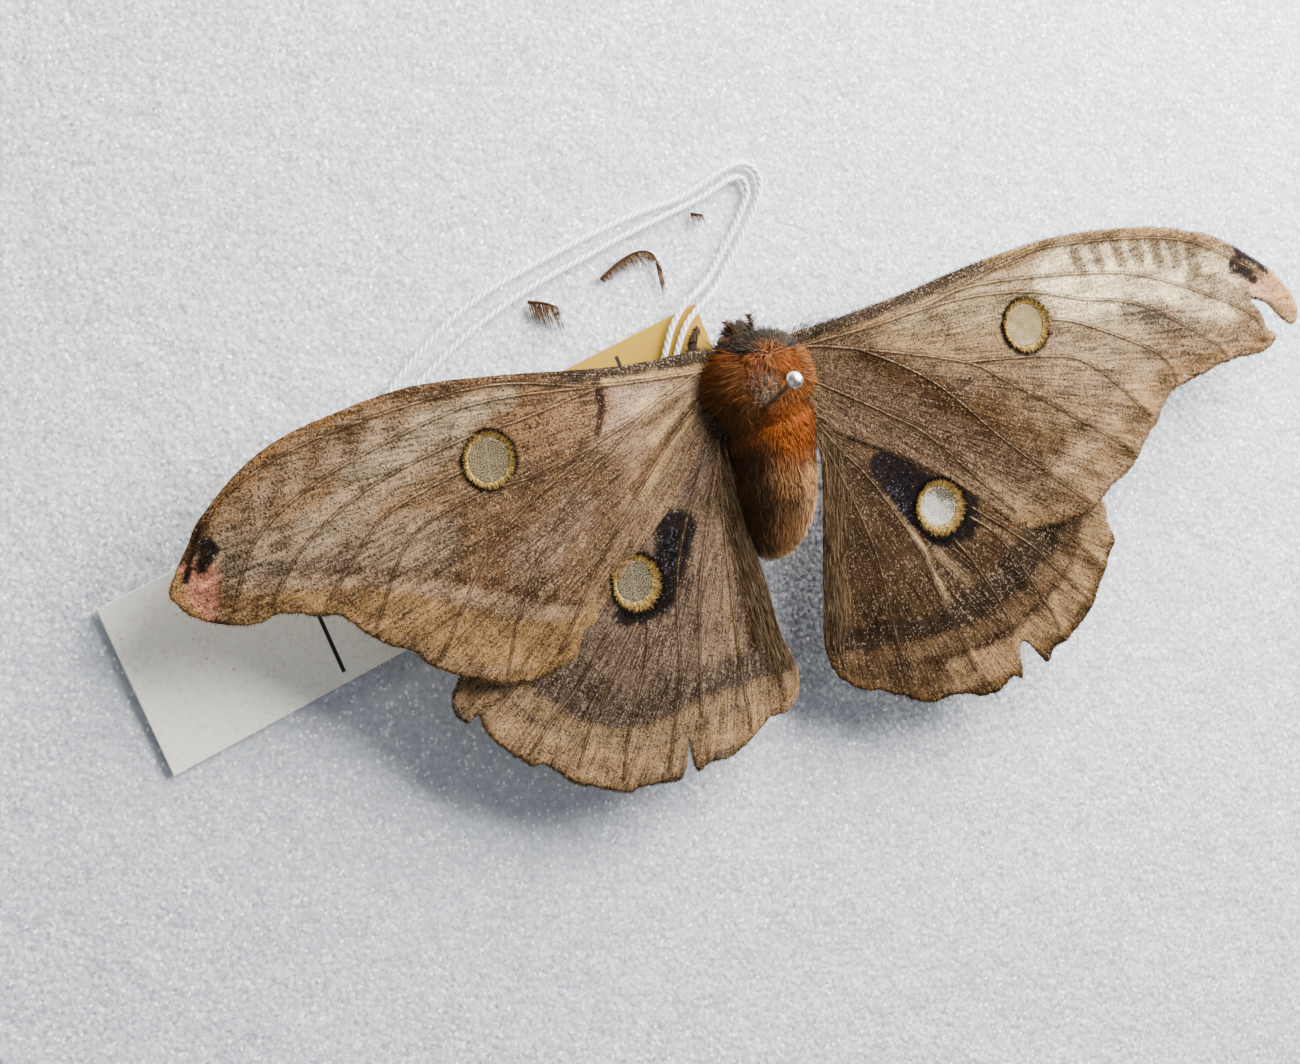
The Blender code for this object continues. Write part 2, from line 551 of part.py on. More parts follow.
def wing_sheets(outline, veins, eye, eye_radius):
    """Triangles of a wing's mid-surface and of its eyespot: two lists of faces on one list of points."""
    rim = smooth_path(outline, RIM_STEP, closed=True)
    points = [Vector((p[0], p[1])) for p in rim]
    edges = []
    face = list(range(len(points)))
    eye = Vector(eye)
    for radius in (eye_radius, eye_radius + GAP):
        first = len(points)
        for k in range(EYE_SIDES):
            angle = 2 * math.pi * k / EYE_SIDES
            points.append(eye + radius * Vector((math.cos(angle), math.sin(angle))))
            edges.append((first + k, first + (k + 1) % EYE_SIDES))
    keep_off = eye_radius + GAP + EYE_CLEAR
    paths = []
    for vein in veins:
        path = [Vector((p[0], p[1])) for p in smooth_path(vein, VEIN_STEP)]
        paths.append(path)
        for side in (-1, 0, 1):
            previous = None
            for i, p in enumerate(path):
                share = i / (len(path) - 1)
                half = VEIN_HALF_WIDTH[0] + (VEIN_HALF_WIDTH[1] - VEIN_HALF_WIDTH[0]) * share
                ahead = path[min(i + 1, len(path) - 1)] - path[max(i - 1, 0)]
                across = Vector((-ahead.y, ahead.x)).normalized() * half * side
                if i == len(path) - 1:
                    across *= 0
                spot = p + across
                if (spot - eye).length < keep_off:
                    previous = None
                    continue
                points.append(spot)
                if previous is not None:
                    edges.append((previous, len(points) - 1))
                previous = len(points) - 1
    low = Vector((min(p.x for p in rim), min(p.y for p in rim)))
    high = Vector((max(p.x for p in rim), max(p.y for p in rim)))
    columns, rows = (int((top - bottom) / SHEET_SPACING) + 1 for top, bottom in zip(high, low))
    for i in range(columns):
        for j in range(rows):
            spot = low + SHEET_SPACING * Vector((i + 0.5, j + 0.5 + 0.5 * (i % 2)))
            near_vein = min(vein_distance(spot, path, (1.0, 1.0)) for path in paths)
            near_rim = min((spot - Vector((p[0], p[1]))).length for p in rim)
            near_eye = (spot - eye).length - keep_off - 1.0
            if near_vein > SHEET_CLEAR and near_rim > SHEET_CLEAR and near_eye > 0:
                points.append(spot)
    result = geometry.delaunay_2d_cdt(points, edges, [face], 1, 1e-3)
    flat, triangles = result[0], result[2]
    wing, disc = [], []
    for triangle in triangles:
        reach = max((flat[k] - eye).length for k in triangle)
        if reach < eye_radius + 0.02:
            disc.append(triangle)
        elif reach > eye_radius + GAP + 0.02:
            wing.append(triangle)
    heights = []
    for p in flat:
        away = min(vein_distance(p, path, VEIN_HALF_WIDTH) for path in paths)
        heights.append(max(0.0, 1.0 - away))
    return flat, wing, disc, heights


def sheet_mesh(name, flat, faces, level):
    """A mid-surface mesh over the wanted faces, and the old index of each vertex."""
    used = sorted({k for face in faces for k in face})
    lookup = {old: new for new, old in enumerate(used)}

    def build(shape):
        verts = [shape.verts.new((flat[k].x, flat[k].y, level + wing_rise(flat[k].x, flat[k].y)))
                 for k in used]
        for face in faces:
            shape.faces.new([verts[lookup[k]] for k in face])
        bmesh.ops.recalc_face_normals(shape, faces=shape.faces)
        if sum(f.normal.z for f in shape.faces) < 0:
            bmesh.ops.reverse_faces(shape, faces=shape.faces)
    return mesh_from(name, build), used


def add_wing(bench, name, outline, veins, level, eye_radius, looks, clearances):
    """One wing and the eyespot let into it. Its veins are ridges in its own surface."""
    eye = EYESPOTS[name]
    flat, wing, disc, ridges = wing_sheets(outline, veins, eye, eye_radius)
    mesh, used = sheet_mesh(name, flat, wing, level)
    obj = bench.piece(name, mesh, looks[0])
    group = obj.vertex_groups.new(name="thickness")
    for new, old in enumerate(used):
        group.add([new], (MEMBRANE + (VEIN - MEMBRANE) * ridges[old]) / VEIN, "REPLACE")
    skin = obj.modifiers.new("membrane", "SOLIDIFY")
    skin.thickness = VEIN * MM
    skin.offset = 0.0
    skin.vertex_group = "thickness"
    cut(obj, *clearances)
    mesh, used = sheet_mesh(name + "_eyespot", flat, disc, level)
    spot = bench.piece(name + "_eyespot", mesh, looks[1])
    skin = spot.modifiers.new("window", "SOLIDIFY")
    skin.thickness = MEMBRANE * MM
    skin.offset = 0.0


def add_wings(bench, clearances):
    fore = new_material("forewing_scales", (0.25, 0.17, 0.12), 0.85)
    hind = new_material("hindwing_scales", (0.17, 0.11, 0.08), 0.85)
    window = new_material("eyespot_window", (0.42, 0.38, 0.28), 0.3)
    for name, outline, veins, level, radius, scales in (
            ("forewing_left", FOREWING_LEFT, FORE_VEINS_LEFT, FORE_LEVEL, FORE_EYE_RADIUS, fore),
            ("forewing_right", FOREWING_RIGHT, FORE_VEINS_RIGHT, FORE_LEVEL, FORE_EYE_RADIUS, fore),
            ("hindwing_left", HINDWING_LEFT, HIND_VEINS_LEFT, HIND_LEVEL, HIND_EYE_RADIUS, hind),
            ("hindwing_right", HINDWING_RIGHT, HIND_VEINS_RIGHT, HIND_LEVEL, HIND_EYE_RADIUS, hind)):
        add_wing(bench, name, outline, veins, level, radius, (scales, window), clearances)


def pin_axis():
    return Vector(PIN_LEAN).normalized()


def thorax_spot(y, turn):
    """A point on the thorax at a y, turned from its top to the right, and the outward direction there."""
    radii, centre = Vector(THORAX_RADII), Vector(THORAX_CENTRE)
    reach = (y - centre.y) / radii.y
    fullness = math.sin(math.acos(reach)) ** EGG_FULLNESS
    offset = Vector((radii.x * fullness * math.sin(turn), y - centre.y, radii.z * fullness * math.cos(turn)))
    outward = Vector((offset.x / radii.x ** 2, offset.y / radii.y ** 2, offset.z / radii.z ** 2))
    return centre + offset, outward.normalized()


def thorax_locks():
    """The collar, the shoulder tufts over the wing roots, the rear fringe and the belly's tufts."""
    pick = random.Random(5)
    locks = []
    for y, fan, count, length, width, thick, (out, over, ahead) in THORAX_ROWS.values():
        for k in range(count):
            turn = math.radians(fan * (2 * k / (count - 1) - 1) + pick.uniform(-LOCK_TURN, LOCK_TURN))
            spot, outward = thorax_spot(y + pick.uniform(-LOCK_STRAY, LOCK_STRAY), turn)
            heading = outward * out + Vector((math.sin(turn) * over, ahead, 0.0))
            grown = length * pick.uniform(*LOCK_LENGTHS)
            locks.append(lock(spot, heading, outward, grown, width, thick, REAR_SWEEP))
    across, ahead, up = SHOULDER_HEADING
    length, width, thick = SHOULDER_LOCK
    for y, fan in SHOULDER_ROWS:
        for side in (-1, 1):
            spot, _ = thorax_spot(y, side * math.radians(fan))
            heading = Vector((side * across, ahead + SHOULDER_FAN * y, up))
            grown = length * pick.uniform(*SHOULDER_LENGTHS)
            locks.append(lock(spot, heading, (0, 0, 1), grown, width, thick, SHOULDER_SWEEP))
    out, ahead = BELLY_HEADING
    for y in BELLY_ROWS:
        spot, outward = thorax_spot(y, math.pi)
        heading = outward * out + Vector((0, ahead, 0))
        locks.append(lock(spot, heading, outward, *BELLY_LOCK))
    return locks


def tail_locks():
    """The brush at the abdomen's tip."""
    count, length, width, thick = TAIL_LOCKS
    y, x, z, radius = TAIL_RING
    locks = []
    for k in range(count):
        angle = 2 * math.pi * k / count
        outward = Vector((math.cos(angle), 0.0, math.sin(angle)))
        spot = Vector((x, y, z)) + outward * radius
        reach = length * (1.0 + TAIL_UNEVEN * math.cos(2.6 * k))
        heading = Vector((0, -1, 0)) + outward * TAIL_FLARE
        locks.append(lock(spot, heading, outward, reach, width, thick, TAIL_SWEEP))
    return locks


def add_body(bench, pin_bore):
    """Thorax, abdomen and head with its eyes. Returns the shapes that neighbours are cut back to."""
    fur = new_material("thorax_fur", (0.36, 0.12, 0.03), 0.9)
    rear_fur = new_material("abdomen_fur", (0.30, 0.14, 0.06), 0.9)
    dark = new_material("head_fur", (0.07, 0.05, 0.04), 0.9)
    eye_look = new_material("eye", (0.015, 0.01, 0.008), 0.25)
    thorax = bench.piece("thorax", loft("thorax", egg_rings(THORAX_CENTRE, THORAX_RADII, 13), 24), fur)
    thorax_room = bench.cutter("thorax_room", loft(
        "thorax_room", egg_rings(THORAX_CENTRE, THORAX_RADII, 13, ROOM), 24))
    room_rings = abdomen_rings(ROOM)[:-2] + list(TAIL_ROOM)
    abdomen_room = bench.cutter("abdomen_room", loft("abdomen_room", room_rings, 22))
    abdomen = bench.piece("abdomen", loft("abdomen", abdomen_rings(), 22), rear_fur)
    fuse(abdomen, tail_locks(), (), (thorax_room, pin_bore))

    def layer(shape):
        low, high = WING_ROOM_Z
        size = Matrix.Diagonal((WING_ROOM_WIDTH, WING_ROOM_WIDTH, high - low, 1.0))
        bmesh.ops.create_cube(shape, size=1.0, matrix=Matrix.Translation((0, 0, (low + high) / 2)) @ size)
    wing_room = bench.cutter("wing_room", mesh_from("wing_room", layer))
    fuse(thorax, thorax_locks(), (abdomen_room, wing_room), (pin_bore,))

    def ball(centre, radius, around, rings):
        def build(shape):
            bmesh.ops.create_uvsphere(shape, u_segments=around, v_segments=rings, radius=radius,
                                      matrix=Matrix.Translation(centre))
        return build
    head = bench.piece("head", mesh_from("head", ball(HEAD_CENTRE, HEAD_RADIUS, 18, 12)), dark)
    cut(head, thorax_room)
    for side, name in ((-1, "left"), (1, "right")):
        centre = (HEAD_CENTRE[0] + side * EYE_OFFSET[0], HEAD_CENTRE[1] + EYE_OFFSET[1],
                  HEAD_CENTRE[2] + EYE_OFFSET[2])
        socket = bench.cutter("socket_" + name, mesh_from(
            "socket_" + name, ball(centre, EYE_RADIUS + GAP, 16, 10)))
        cut(head, socket)
        eye = bench.piece("eye_" + name, mesh_from("eye_" + name, ball(centre, EYE_RADIUS, 16, 10)),
                          eye_look)
        cut(eye, thorax_room)
    return thorax_room, abdomen_room


def add_feelers(bench, thorax_room):
    """The stubs on the head, cut back to it, and the comb-like scraps on the foam."""
    look = new_material("feeler", (0.16, 0.06, 0.03), 0.7)

    def build(shape):
        bmesh.ops.create_uvsphere(shape, u_segments=18, v_segments=12, radius=HEAD_RADIUS + GAP + 0.03,
                                  matrix=Matrix.Translation(HEAD_CENTRE))
    head_room = bench.cutter("head_room", mesh_from("head_room", build))
    for name, points in (("left", STUB_LEFT), ("right", STUB_RIGHT)):
        line = smooth_path(points, 0.8)
        stub = bench.piece("antenna_" + name, tube("antenna_" + name, line, STUB_RADII), look)
        rays = []
        across, ahead = STUB_RAY
        for k, spot in enumerate(line[2:]):
            for side in (-1, 1):
                rays.append(ray(spot, spot + Vector((side * across, ahead, STUB_RAY_LIFT * (k % 3 - 1)))))
        fuse(stub, rays, (), (head_room, thorax_room))
    for name, (points, comb, lengths) in SCRAPS.items():
        height = FOAM_TOP + GAP + SCRAP_RADIUS
        line = [Vector((p[0], p[1], height)) for p in smooth_path([(*p, 0.0) for p in points], 1.5)]
        node = "antenna_scrap_" + name
        end = SCRAP_RADIUS * SCRAP_END
        mesh = tube(node, line, (end, SCRAP_RADIUS, end))
        scrap = bench.piece(node, mesh, look)
        roots = even_path([(*p, height) for p in points], RAY_SPACING)
        rays = []
        for k, spot in enumerate(roots):
            reach = lengths[0] + (lengths[1] - lengths[0]) * k / (len(roots) - 1)
            swing = COMB_SWING * math.sin(2.3 * k)
            rays.append(ray(spot, spot + Vector((comb[0] + swing, comb[1], 0.0)).normalized() * reach))
        fuse(scrap, rays)


def add_legs(bench, clearances):
    look = new_material("leg_fur", (0.20, 0.11, 0.06), 0.9)
    for pair, joints in LEG_JOINTS.items():
        for side, name in ((-1, "left"), (1, "right")):
            line = smooth_path([(side * x, y, z) for x, y, z in joints], 1.1)
            node = "leg_{}_{}".format(pair, name)
            leg = bench.piece(node, tube(node, line, LEG_RADII), look)
            cut(leg, *clearances)


def add_pin(bench):
    """A steel pin turned from one profile, and the bore it stands in."""
    axis = pin_axis()
    head = Vector(PIN_ENTRY) + axis * PIN_ABOVE
    radius, half = PIN_HEAD
    profile = [(0.0, half)]
    for k in range(1, 7):
        angle = math.pi / 2 - math.pi * k / 7.3
        profile.append((radius * math.cos(angle), half * math.sin(angle)))
    profile += [(PIN_SHAFT, -half - 0.1), (PIN_SHAFT, PIN_POINT - PIN_LENGTH), (0.0, -PIN_LENGTH)]

    def build(shape):
        verts = [shape.verts.new((x, 0.0, z)) for x, z in profile]
        for a, b in zip(verts, verts[1:]):
            shape.edges.new((a, b))
    steel = new_material("pin_steel", (0.75, 0.74, 0.72), 0.25, 1.0)
    pin = bench.piece("stand_pin", mesh_from("stand_pin", build), steel)
    turn = pin.modifiers.new("turned", "SCREW")
    turn.steps = 14
    turn.render_steps = 14
    turn.use_merge_vertices = True
    turn.merge_threshold = 0.00001
    pin.location = head * MM
    pin.rotation_mode = "QUATERNION"
    pin.rotation_quaternion = axis.to_track_quat("Z", "Y")
    top = Vector(PIN_ENTRY) + axis * PIN_BORE_TOP
    foot = head - axis * (PIN_LENGTH + GAP)
    return bench.cutter("pin_bore", rod_mesh("pin_bore", top, foot, PIN_SHAFT + GAP, 14))


def add_foam(bench, pin_bore):
    def build(shape):
        size = Matrix.Diagonal((*FOAM_SIZE, 1.0))
        bmesh.ops.create_cube(shape, size=1.0, matrix=Matrix.Translation((0, 0, FOAM_TOP / 2)) @ size)
    white = new_material("white_foam", (0.78, 0.79, 0.80), 0.7)
    foam = bench.piece("stand_foam", mesh_from("stand_foam", build), white, in_frame=False)
    rounding = foam.modifiers.new("corners", "BEVEL")
    rounding.width = FOAM_CORNER * MM
    rounding.segments = 3
    rounding.limit_method = "WEIGHT"
    corner = foam.data.attributes.new("bevel_weight_edge", "FLOAT", "EDGE")
    for edge in foam.data.edges:
        a, b = (foam.data.vertices[k].co for k in edge.vertices)
        corner.data[edge.index].value = 1.0 if abs(a.z - b.z) > 5 * MM else 0.0
    cut(foam, pin_bore)


def add_tag(bench, pin_bore):
    """The card, its punched hole, the doubled string and the knot that ends it."""
    def build(shape):
        place = (Matrix.Translation((*TAG_CENTRE, TAG_Z + TAG_SIZE[2] / 2))
                 @ Matrix.Rotation(TAG_TURN, 4, "Z") @ Matrix.Diagonal((*TAG_SIZE, 1.0)))
        bmesh.ops.create_cube(shape, size=1.0, matrix=place)
    card = new_material("tag_card", (0.80, 0.74, 0.58), 0.8)
    tag = bench.piece("tag", mesh_from("tag", build), card)
    hole = bench.cutter("tag_hole", rod_mesh(
        "tag_hole", (*TAG_HOLE, TAG_Z - 1), (*TAG_HOLE, TAG_Z + 2), TAG_HOLE_RADIUS, 20))
    cut(tag, hole, pin_bore)
    cotton = new_material("cotton_string", (0.85, 0.85, 0.82), 0.8)
    for name, points in (("tag_string_outer", STRING_OUTER), ("tag_string_inner", STRING_INNER)):
        line = even_path(points, STRING_STEP)
        bench.piece(name, tube(name, line, (STRING / 2, STRING / 2), 2), cotton)

    def knot(shape):
        bmesh.ops.create_uvsphere(shape, u_segments=14, v_segments=8, radius=1.0,
                                  matrix=Matrix.Translation(KNOT_CENTRE) @ Matrix.Diagonal((*KNOT_RADII, 1)))
    bench.piece("tag_string_knot", mesh_from("tag_string_knot", knot), cotton)


def main():
    bench = Bench()
    pin_bore = add_pin(bench)
    add_foam(bench, pin_bore)
    thorax_room, abdomen_room = add_body(bench, pin_bore)
    add_wings(bench, (thorax_room, abdomen_room))
    add_legs(bench, (thorax_room, abdomen_room))
    add_feelers(bench, thorax_room)
    add_tag(bench, pin_bore)


main()
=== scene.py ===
import math

import bpy
import numpy as np
from mathutils import Matrix, Vector, geometry, noise


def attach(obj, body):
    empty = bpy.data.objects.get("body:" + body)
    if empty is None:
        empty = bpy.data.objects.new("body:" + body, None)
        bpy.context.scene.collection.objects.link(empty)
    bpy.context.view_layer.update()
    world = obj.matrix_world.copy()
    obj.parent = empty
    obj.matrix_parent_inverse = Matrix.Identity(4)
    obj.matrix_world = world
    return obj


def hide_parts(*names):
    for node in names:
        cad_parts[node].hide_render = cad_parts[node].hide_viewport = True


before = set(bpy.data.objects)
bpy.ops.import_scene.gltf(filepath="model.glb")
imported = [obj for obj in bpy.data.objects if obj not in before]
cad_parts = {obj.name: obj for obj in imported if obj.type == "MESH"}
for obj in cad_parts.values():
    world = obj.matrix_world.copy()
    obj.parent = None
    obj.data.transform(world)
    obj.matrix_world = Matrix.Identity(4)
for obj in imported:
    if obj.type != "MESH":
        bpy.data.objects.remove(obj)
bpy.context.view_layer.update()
print("frame loaded:", len(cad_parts), "nodes")

# Lengths are in millimetres until a mesh is made. The moth has a frame of its own, as its tag and string
# do: x to its right wing, y to its head, and the thorax at (0, 0). It sits turned on the foam block.
mm = 0.001
mothAt = (0.4, 14.6)
mothTurn = math.radians(10.5)
foamTop = 10.0
gap = 0.3


def linear(hexColour):
    # An sRGB hex colour as the linear values that the shaders take.
    parts = [int(hexColour[i:i + 2], 16) / 255 for i in (1, 3, 5)]
    return np.array([p / 12.92 if p <= 0.04045 else ((p + 0.055) / 1.055) ** 2.4 for p in parts])


def setNode(tree, node, given):
    for name, value in given.items():
        if isinstance(name, str) and name not in node.inputs:
            setattr(node, name, value)
        elif isinstance(value, bpy.types.NodeSocket):
            tree.links.new(value, node.inputs[name])
        elif isinstance(value, str) and value.startswith("#"):
            node.inputs[name].default_value = (*linear(value), 1.0)
        else:
            node.inputs[name].default_value = value


def addNode(tree, kind, given=None, out=0):
    # Adds one node and returns its output. What is given by the name or number of a socket fills or joins
    # that socket, and the rest sets the node itself. A hex string is a colour. After a colon, the kind
    # goes on with the node's operation or attribute.
    kind, _, word = kind.partition(":")
    usual = {"Mix": {"data_type": "RGBA"}, "MapRange": {"interpolation_type": "SMOOTHSTEP"}}.get(kind, {})
    named = {"attribute_name" if kind == "Attribute" else "operation": word} if word else {}
    node = tree.nodes.new(kind if kind.startswith(("Geometry", "Function")) else "ShaderNode" + kind)
    setNode(tree, node, {**usual, **named, **(given or {})})
    return node.outputs[out]


def newMaterial(name):
    # A material with only its shader and output, and a function that adds nodes to it.
    material = bpy.data.materials.new(name)
    material.use_nodes = True
    tree = material.node_tree

    def add(*wanted):
        return addNode(tree, *wanted)

    def finish(given):
        setNode(tree, tree.nodes["Principled BSDF"], given)
        return material
    return add, finish


def inPlace(points):
    # Points of the moth's own frame, set on the block.
    points = np.array(points, float).reshape(-1, 3)
    c, s = math.cos(mothTurn), math.sin(mothTurn)
    x = points[:, 0] * c - points[:, 1] * s + mothAt[0]
    y = points[:, 0] * s + points[:, 1] * c + mothAt[1]
    return np.column_stack([x, y, points[:, 2]])


def newMesh(name, points, faces):
    # A mesh from arrays of points, in millimetres and in place, and of faces with equal corners.
    points, faces = np.asarray(points, float), np.asarray(faces, np.int32)
    count, corners = faces.shape
    mesh = bpy.data.meshes.new(name)
    mesh.vertices.add(len(points))
    mesh.vertices.foreach_set("co", (points * mm).astype(np.float32).ravel())
    mesh.loops.add(count * corners)
    mesh.loops.foreach_set("vertex_index", faces.ravel())
    mesh.polygons.add(count)
    mesh.polygons.foreach_set("loop_start", np.arange(0, count * corners, corners, dtype=np.int32))
    mesh.update(calc_edges=True)
    return mesh


def addAttribute(mesh, name, values, kind="FLOAT"):
    values = np.asarray(values, np.float32)
    field = {"FLOAT": "value", "FLOAT_VECTOR": "vector", "FLOAT_COLOR": "color"}[kind]
    if kind == "FLOAT_COLOR":
        values = np.column_stack([values, np.ones(len(values), np.float32)])
    mesh.attributes.new(name, kind, "POINT").data.foreach_set(field, values.ravel())


def addPiece(name, mesh, material, slot, replaced=(), smooth=True):
    # Every piece rides on the one body, takes the given material and may stand for CAD nodes. Its slot is not
    # used.
    mesh.materials.clear()
    mesh.materials.append(material)
    if smooth:
        mesh.shade_smooth()
    else:
        mesh.shade_flat()
    piece = bpy.data.objects.new(name, mesh)
    bpy.context.scene.collection.objects.link(piece)
    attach(piece, "root")
    if replaced:
        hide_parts(*replaced)
    return piece


def tiltedNormal(add, tint, amount, relief):
    # A normal that leans its own way on each cell of a pattern, on top of a relief.
    lean = add("VectorMath:SUBTRACT", {0: tint, 1: (0.5, 0.5, 0.5)})
    lean = add("VectorMath:SCALE", {0: lean, "Scale": amount})
    both = add("VectorMath:ADD", {0: relief, 1: lean})
    return add("VectorMath:NORMALIZE", {0: both})


def bake(piece):
    # The mesh of an object with its modifiers applied. The object itself is removed.
    bpy.context.view_layer.update()
    mesh = bpy.data.meshes.new_from_object(piece.evaluated_get(bpy.context.evaluated_depsgraph_get()))
    bpy.data.objects.remove(piece, do_unlink=True)
    return mesh


def looseObject(name, mesh):
    # An object in the scene that is not attached to the body. The helpers made with it are baked and removed;
    # the floor stays.
    piece = bpy.data.objects.new(name, mesh)
    bpy.context.scene.collection.objects.link(piece)
    return piece


def curvePoints(points, step, closed=False):
    # Points about a step apart on the Catmull-Rom curve through the given ones.
    points = np.asarray(points, float)
    count = len(points)
    path = []
    for i in range(count if closed else count - 1):
        if closed:
            a, b, c, d = (points[(i + k) % count] for k in (-1, 0, 1, 2))
        else:
            a, b, c, d = points[max(i - 1, 0)], points[i], points[i + 1], points[min(i + 2, count - 1)]
        pieces = max(1, round(float(np.linalg.norm(c - b)) / step))
        for t in np.arange(pieces) / pieces:
            path.append(0.5 * (2 * b + (c - a) * t + (2 * a - 5 * b + 4 * c - d) * t * t
                               + (3 * b - a - 3 * c + d) * t ** 3))
    if not closed:
        path.append(points[-1])
    return np.array(path)


def evenPoints(points, step):
    # The same curve with its points an equal distance apart.
    fine = curvePoints(points, step / 6)
    lengths = np.concatenate([[0.0], np.cumsum(np.linalg.norm(np.diff(fine, axis=0), axis=1))])
    pieces = max(1, round(lengths[-1] / step))
    wanted = np.linspace(0.0, lengths[-1], pieces + 1)
    return np.column_stack([np.interp(wanted, lengths, fine[:, k]) for k in range(fine.shape[1])])


def unit(vectors):
    return vectors / np.maximum(1e-9, np.linalg.norm(vectors, axis=1))[:, None]


def sideways(along):
    # Unit vectors to the right of the given ones, on the plane.
    return unit(np.column_stack([along[:, 1], -along[:, 0]]))


def onPlane(flat):
    return np.column_stack([flat, np.zeros(len(flat))])


def limbFaces(rings, sides):
    # Triangles of a round limb. Its rings of points come first and the points at its two ends last.
    rows = np.arange(rings - 1)[:, None] * sides
    k = np.arange(sides)
    n = (k + 1) % sides
    last, tip = (rings - 1) * sides, rings * sides
    return np.vstack([np.stack([rows + k, rows + n, rows + sides + n], -1).reshape(-1, 3),
                      np.stack([rows + k, rows + sides + n, rows + sides + k], -1).reshape(-1, 3),
                      np.column_stack([n, k, np.full(sides, tip)]),
                      np.column_stack([last + k, last + n, np.full(sides, tip + 1)])])


def ringPoints(line, across, rise, reach, sides):
    # Rings of points that stand across a line, each point at its own reach.
    angles = 2 * math.pi * np.arange(sides) / sides
    return (line[:, None, :] + across[:, None, :] * (reach * np.cos(angles))[:, :, None]
            + rise[:, None, :] * (reach * np.sin(angles))[:, :, None]).reshape(-1, 3)


def joinShapes(shapes):
    # The points and faces of several shapes as those of one.
    starts = np.cumsum([0] + [len(points) for points, _ in shapes])
    return (np.vstack([points for points, _ in shapes]),
            np.vstack([faces + start for (_, faces), start in zip(shapes, starts)]))


def tubeShape(path, radii, sides=12):
    # Points and faces of a closed round limb along a line of points.
    path = np.asarray(path, float)
    ahead = unit(np.gradient(path, axis=0))
    across = unit(np.cross(ahead, [0.13, 0.21, 0.97]))
    points = ringPoints(path, across, np.cross(ahead, across), np.asarray(radii)[:, None], sides)
    tips = np.array([path[0] - ahead[0] * radii[0] * 0.6, path[-1] + ahead[-1] * radii[-1] * 0.6])
    return np.vstack([points, tips]), limbFaces(len(path), sides)


def pathGap(x, y, path):
    # Each point's distance from a line on the plane, and how far along it (0 to 1) the nearest place is.
    path = np.asarray(path, float)[:, :2]
    best = np.full(len(x), 1e9)
    place = np.zeros(len(x))
    spans = len(path) - 1
    for i in range(spans):
        along = path[i + 1] - path[i]
        share = ((x - path[i, 0]) * along[0] + (y - path[i, 1]) * along[1]) / max(1e-9, along @ along)
        share = np.clip(share, 0, 1)
        away = np.hypot(x - path[i, 0] - share * along[0], y - path[i, 1] - share * along[1])
        nearer = away < best
        best = np.where(nearer, away, best)
        place = np.where(nearer, (i + share) / spans, place)
    return best, place


def softStep(value, low, high):
    share = np.clip((value - low) / (high - low), 0, 1)
    return share * share * (3 - 2 * share)


def lumps(points, size, seed=0.0):
    # Smooth noise from -1 to 1 at each point, with lumps of about size millimetres.
    return np.array([noise.noise(Vector((p[0] / size + seed, p[1] / size - seed, p[2] / size)))
                     for p in points])


# Camera: above the left wing, looking down to the right, as the photo was taken.
camera = {
    "place": (-172.4, 0.0, 322.6), "tilt": -27.7, "lens": 91.38, "sensor": 36.0,
}
cameraData = bpy.data.cameras.new("camera")
cameraData.lens = camera["lens"]
cameraData.sensor_width = camera["sensor"]
cameraData.clip_start = 0.01
cameraObject = bpy.data.objects.new("camera", cameraData)
cameraObject.location = [v * mm for v in camera["place"]]
cameraObject.rotation_euler = (0.0, math.radians(camera["tilt"]), 0.0)
bpy.context.scene.collection.objects.link(cameraObject)
bpy.context.scene.camera = cameraObject

# String: a doubled cotton string from the tag's hole to a knot under the left forewing. Its two
# strands follow the solids' routes: over the card, then round a loop on the foam.
string = {
    "width": 0.7, "step": 1.7, "low": foamTop + gap + 0.35, "high": foamTop + gap + 0.5 + gap + 0.35,
    "bridge": 11.0, "plies": 3, "twist": 2.6,       # height off the card, then strands and pitch
    "knotCentre": (-41.9, 2.6, foamTop + gap + 0.9), "knotRadii": (1.3, 1.1, 0.9),
}
stringRoutes = {                            # x and y
    "tag_string_outer": [
        (-7.35, 1.3), (-6.7, 3.0), (-5.5, 5.1), (-4.4, 7.2), (-3.0, 9.0), (-0.9, 10.5), (1.1, 11.9),
        (3.1, 14.1), (5.3, 16.7), (7.1, 19.1), (8.4, 21.3), (8.5, 23.2), (6.9, 24.5), (4.1, 24.0),
        (-1.3, 21.9), (-6.4, 21.0), (-11.5, 19.8), (-16.5, 18.4), (-21.6, 16.8), (-26.6, 15.0),
        (-31.7, 12.3), (-37.0, 8.4), (-39.6, 5.9), (-41.3, 4.2)],
    "tag_string_inner": [
        (-8.45, 1.7), (-7.9, 3.5), (-6.8, 5.5), (-5.7, 7.8), (-4.1, 9.9), (-2.0, 11.5), (0.1, 12.8),
        (2.1, 14.9), (4.2, 17.4), (5.9, 19.7), (6.9, 21.6), (6.5, 22.9), (4.6, 22.9), (1.1, 21.5),
        (-4.1, 20.1), (-9.2, 18.7), (-14.3, 17.1), (-19.4, 15.5), (-24.4, 13.5), (-29.6, 10.9),
        (-34.8, 7.5), (-38.2, 4.9), (-40.3, 3.2)],
}


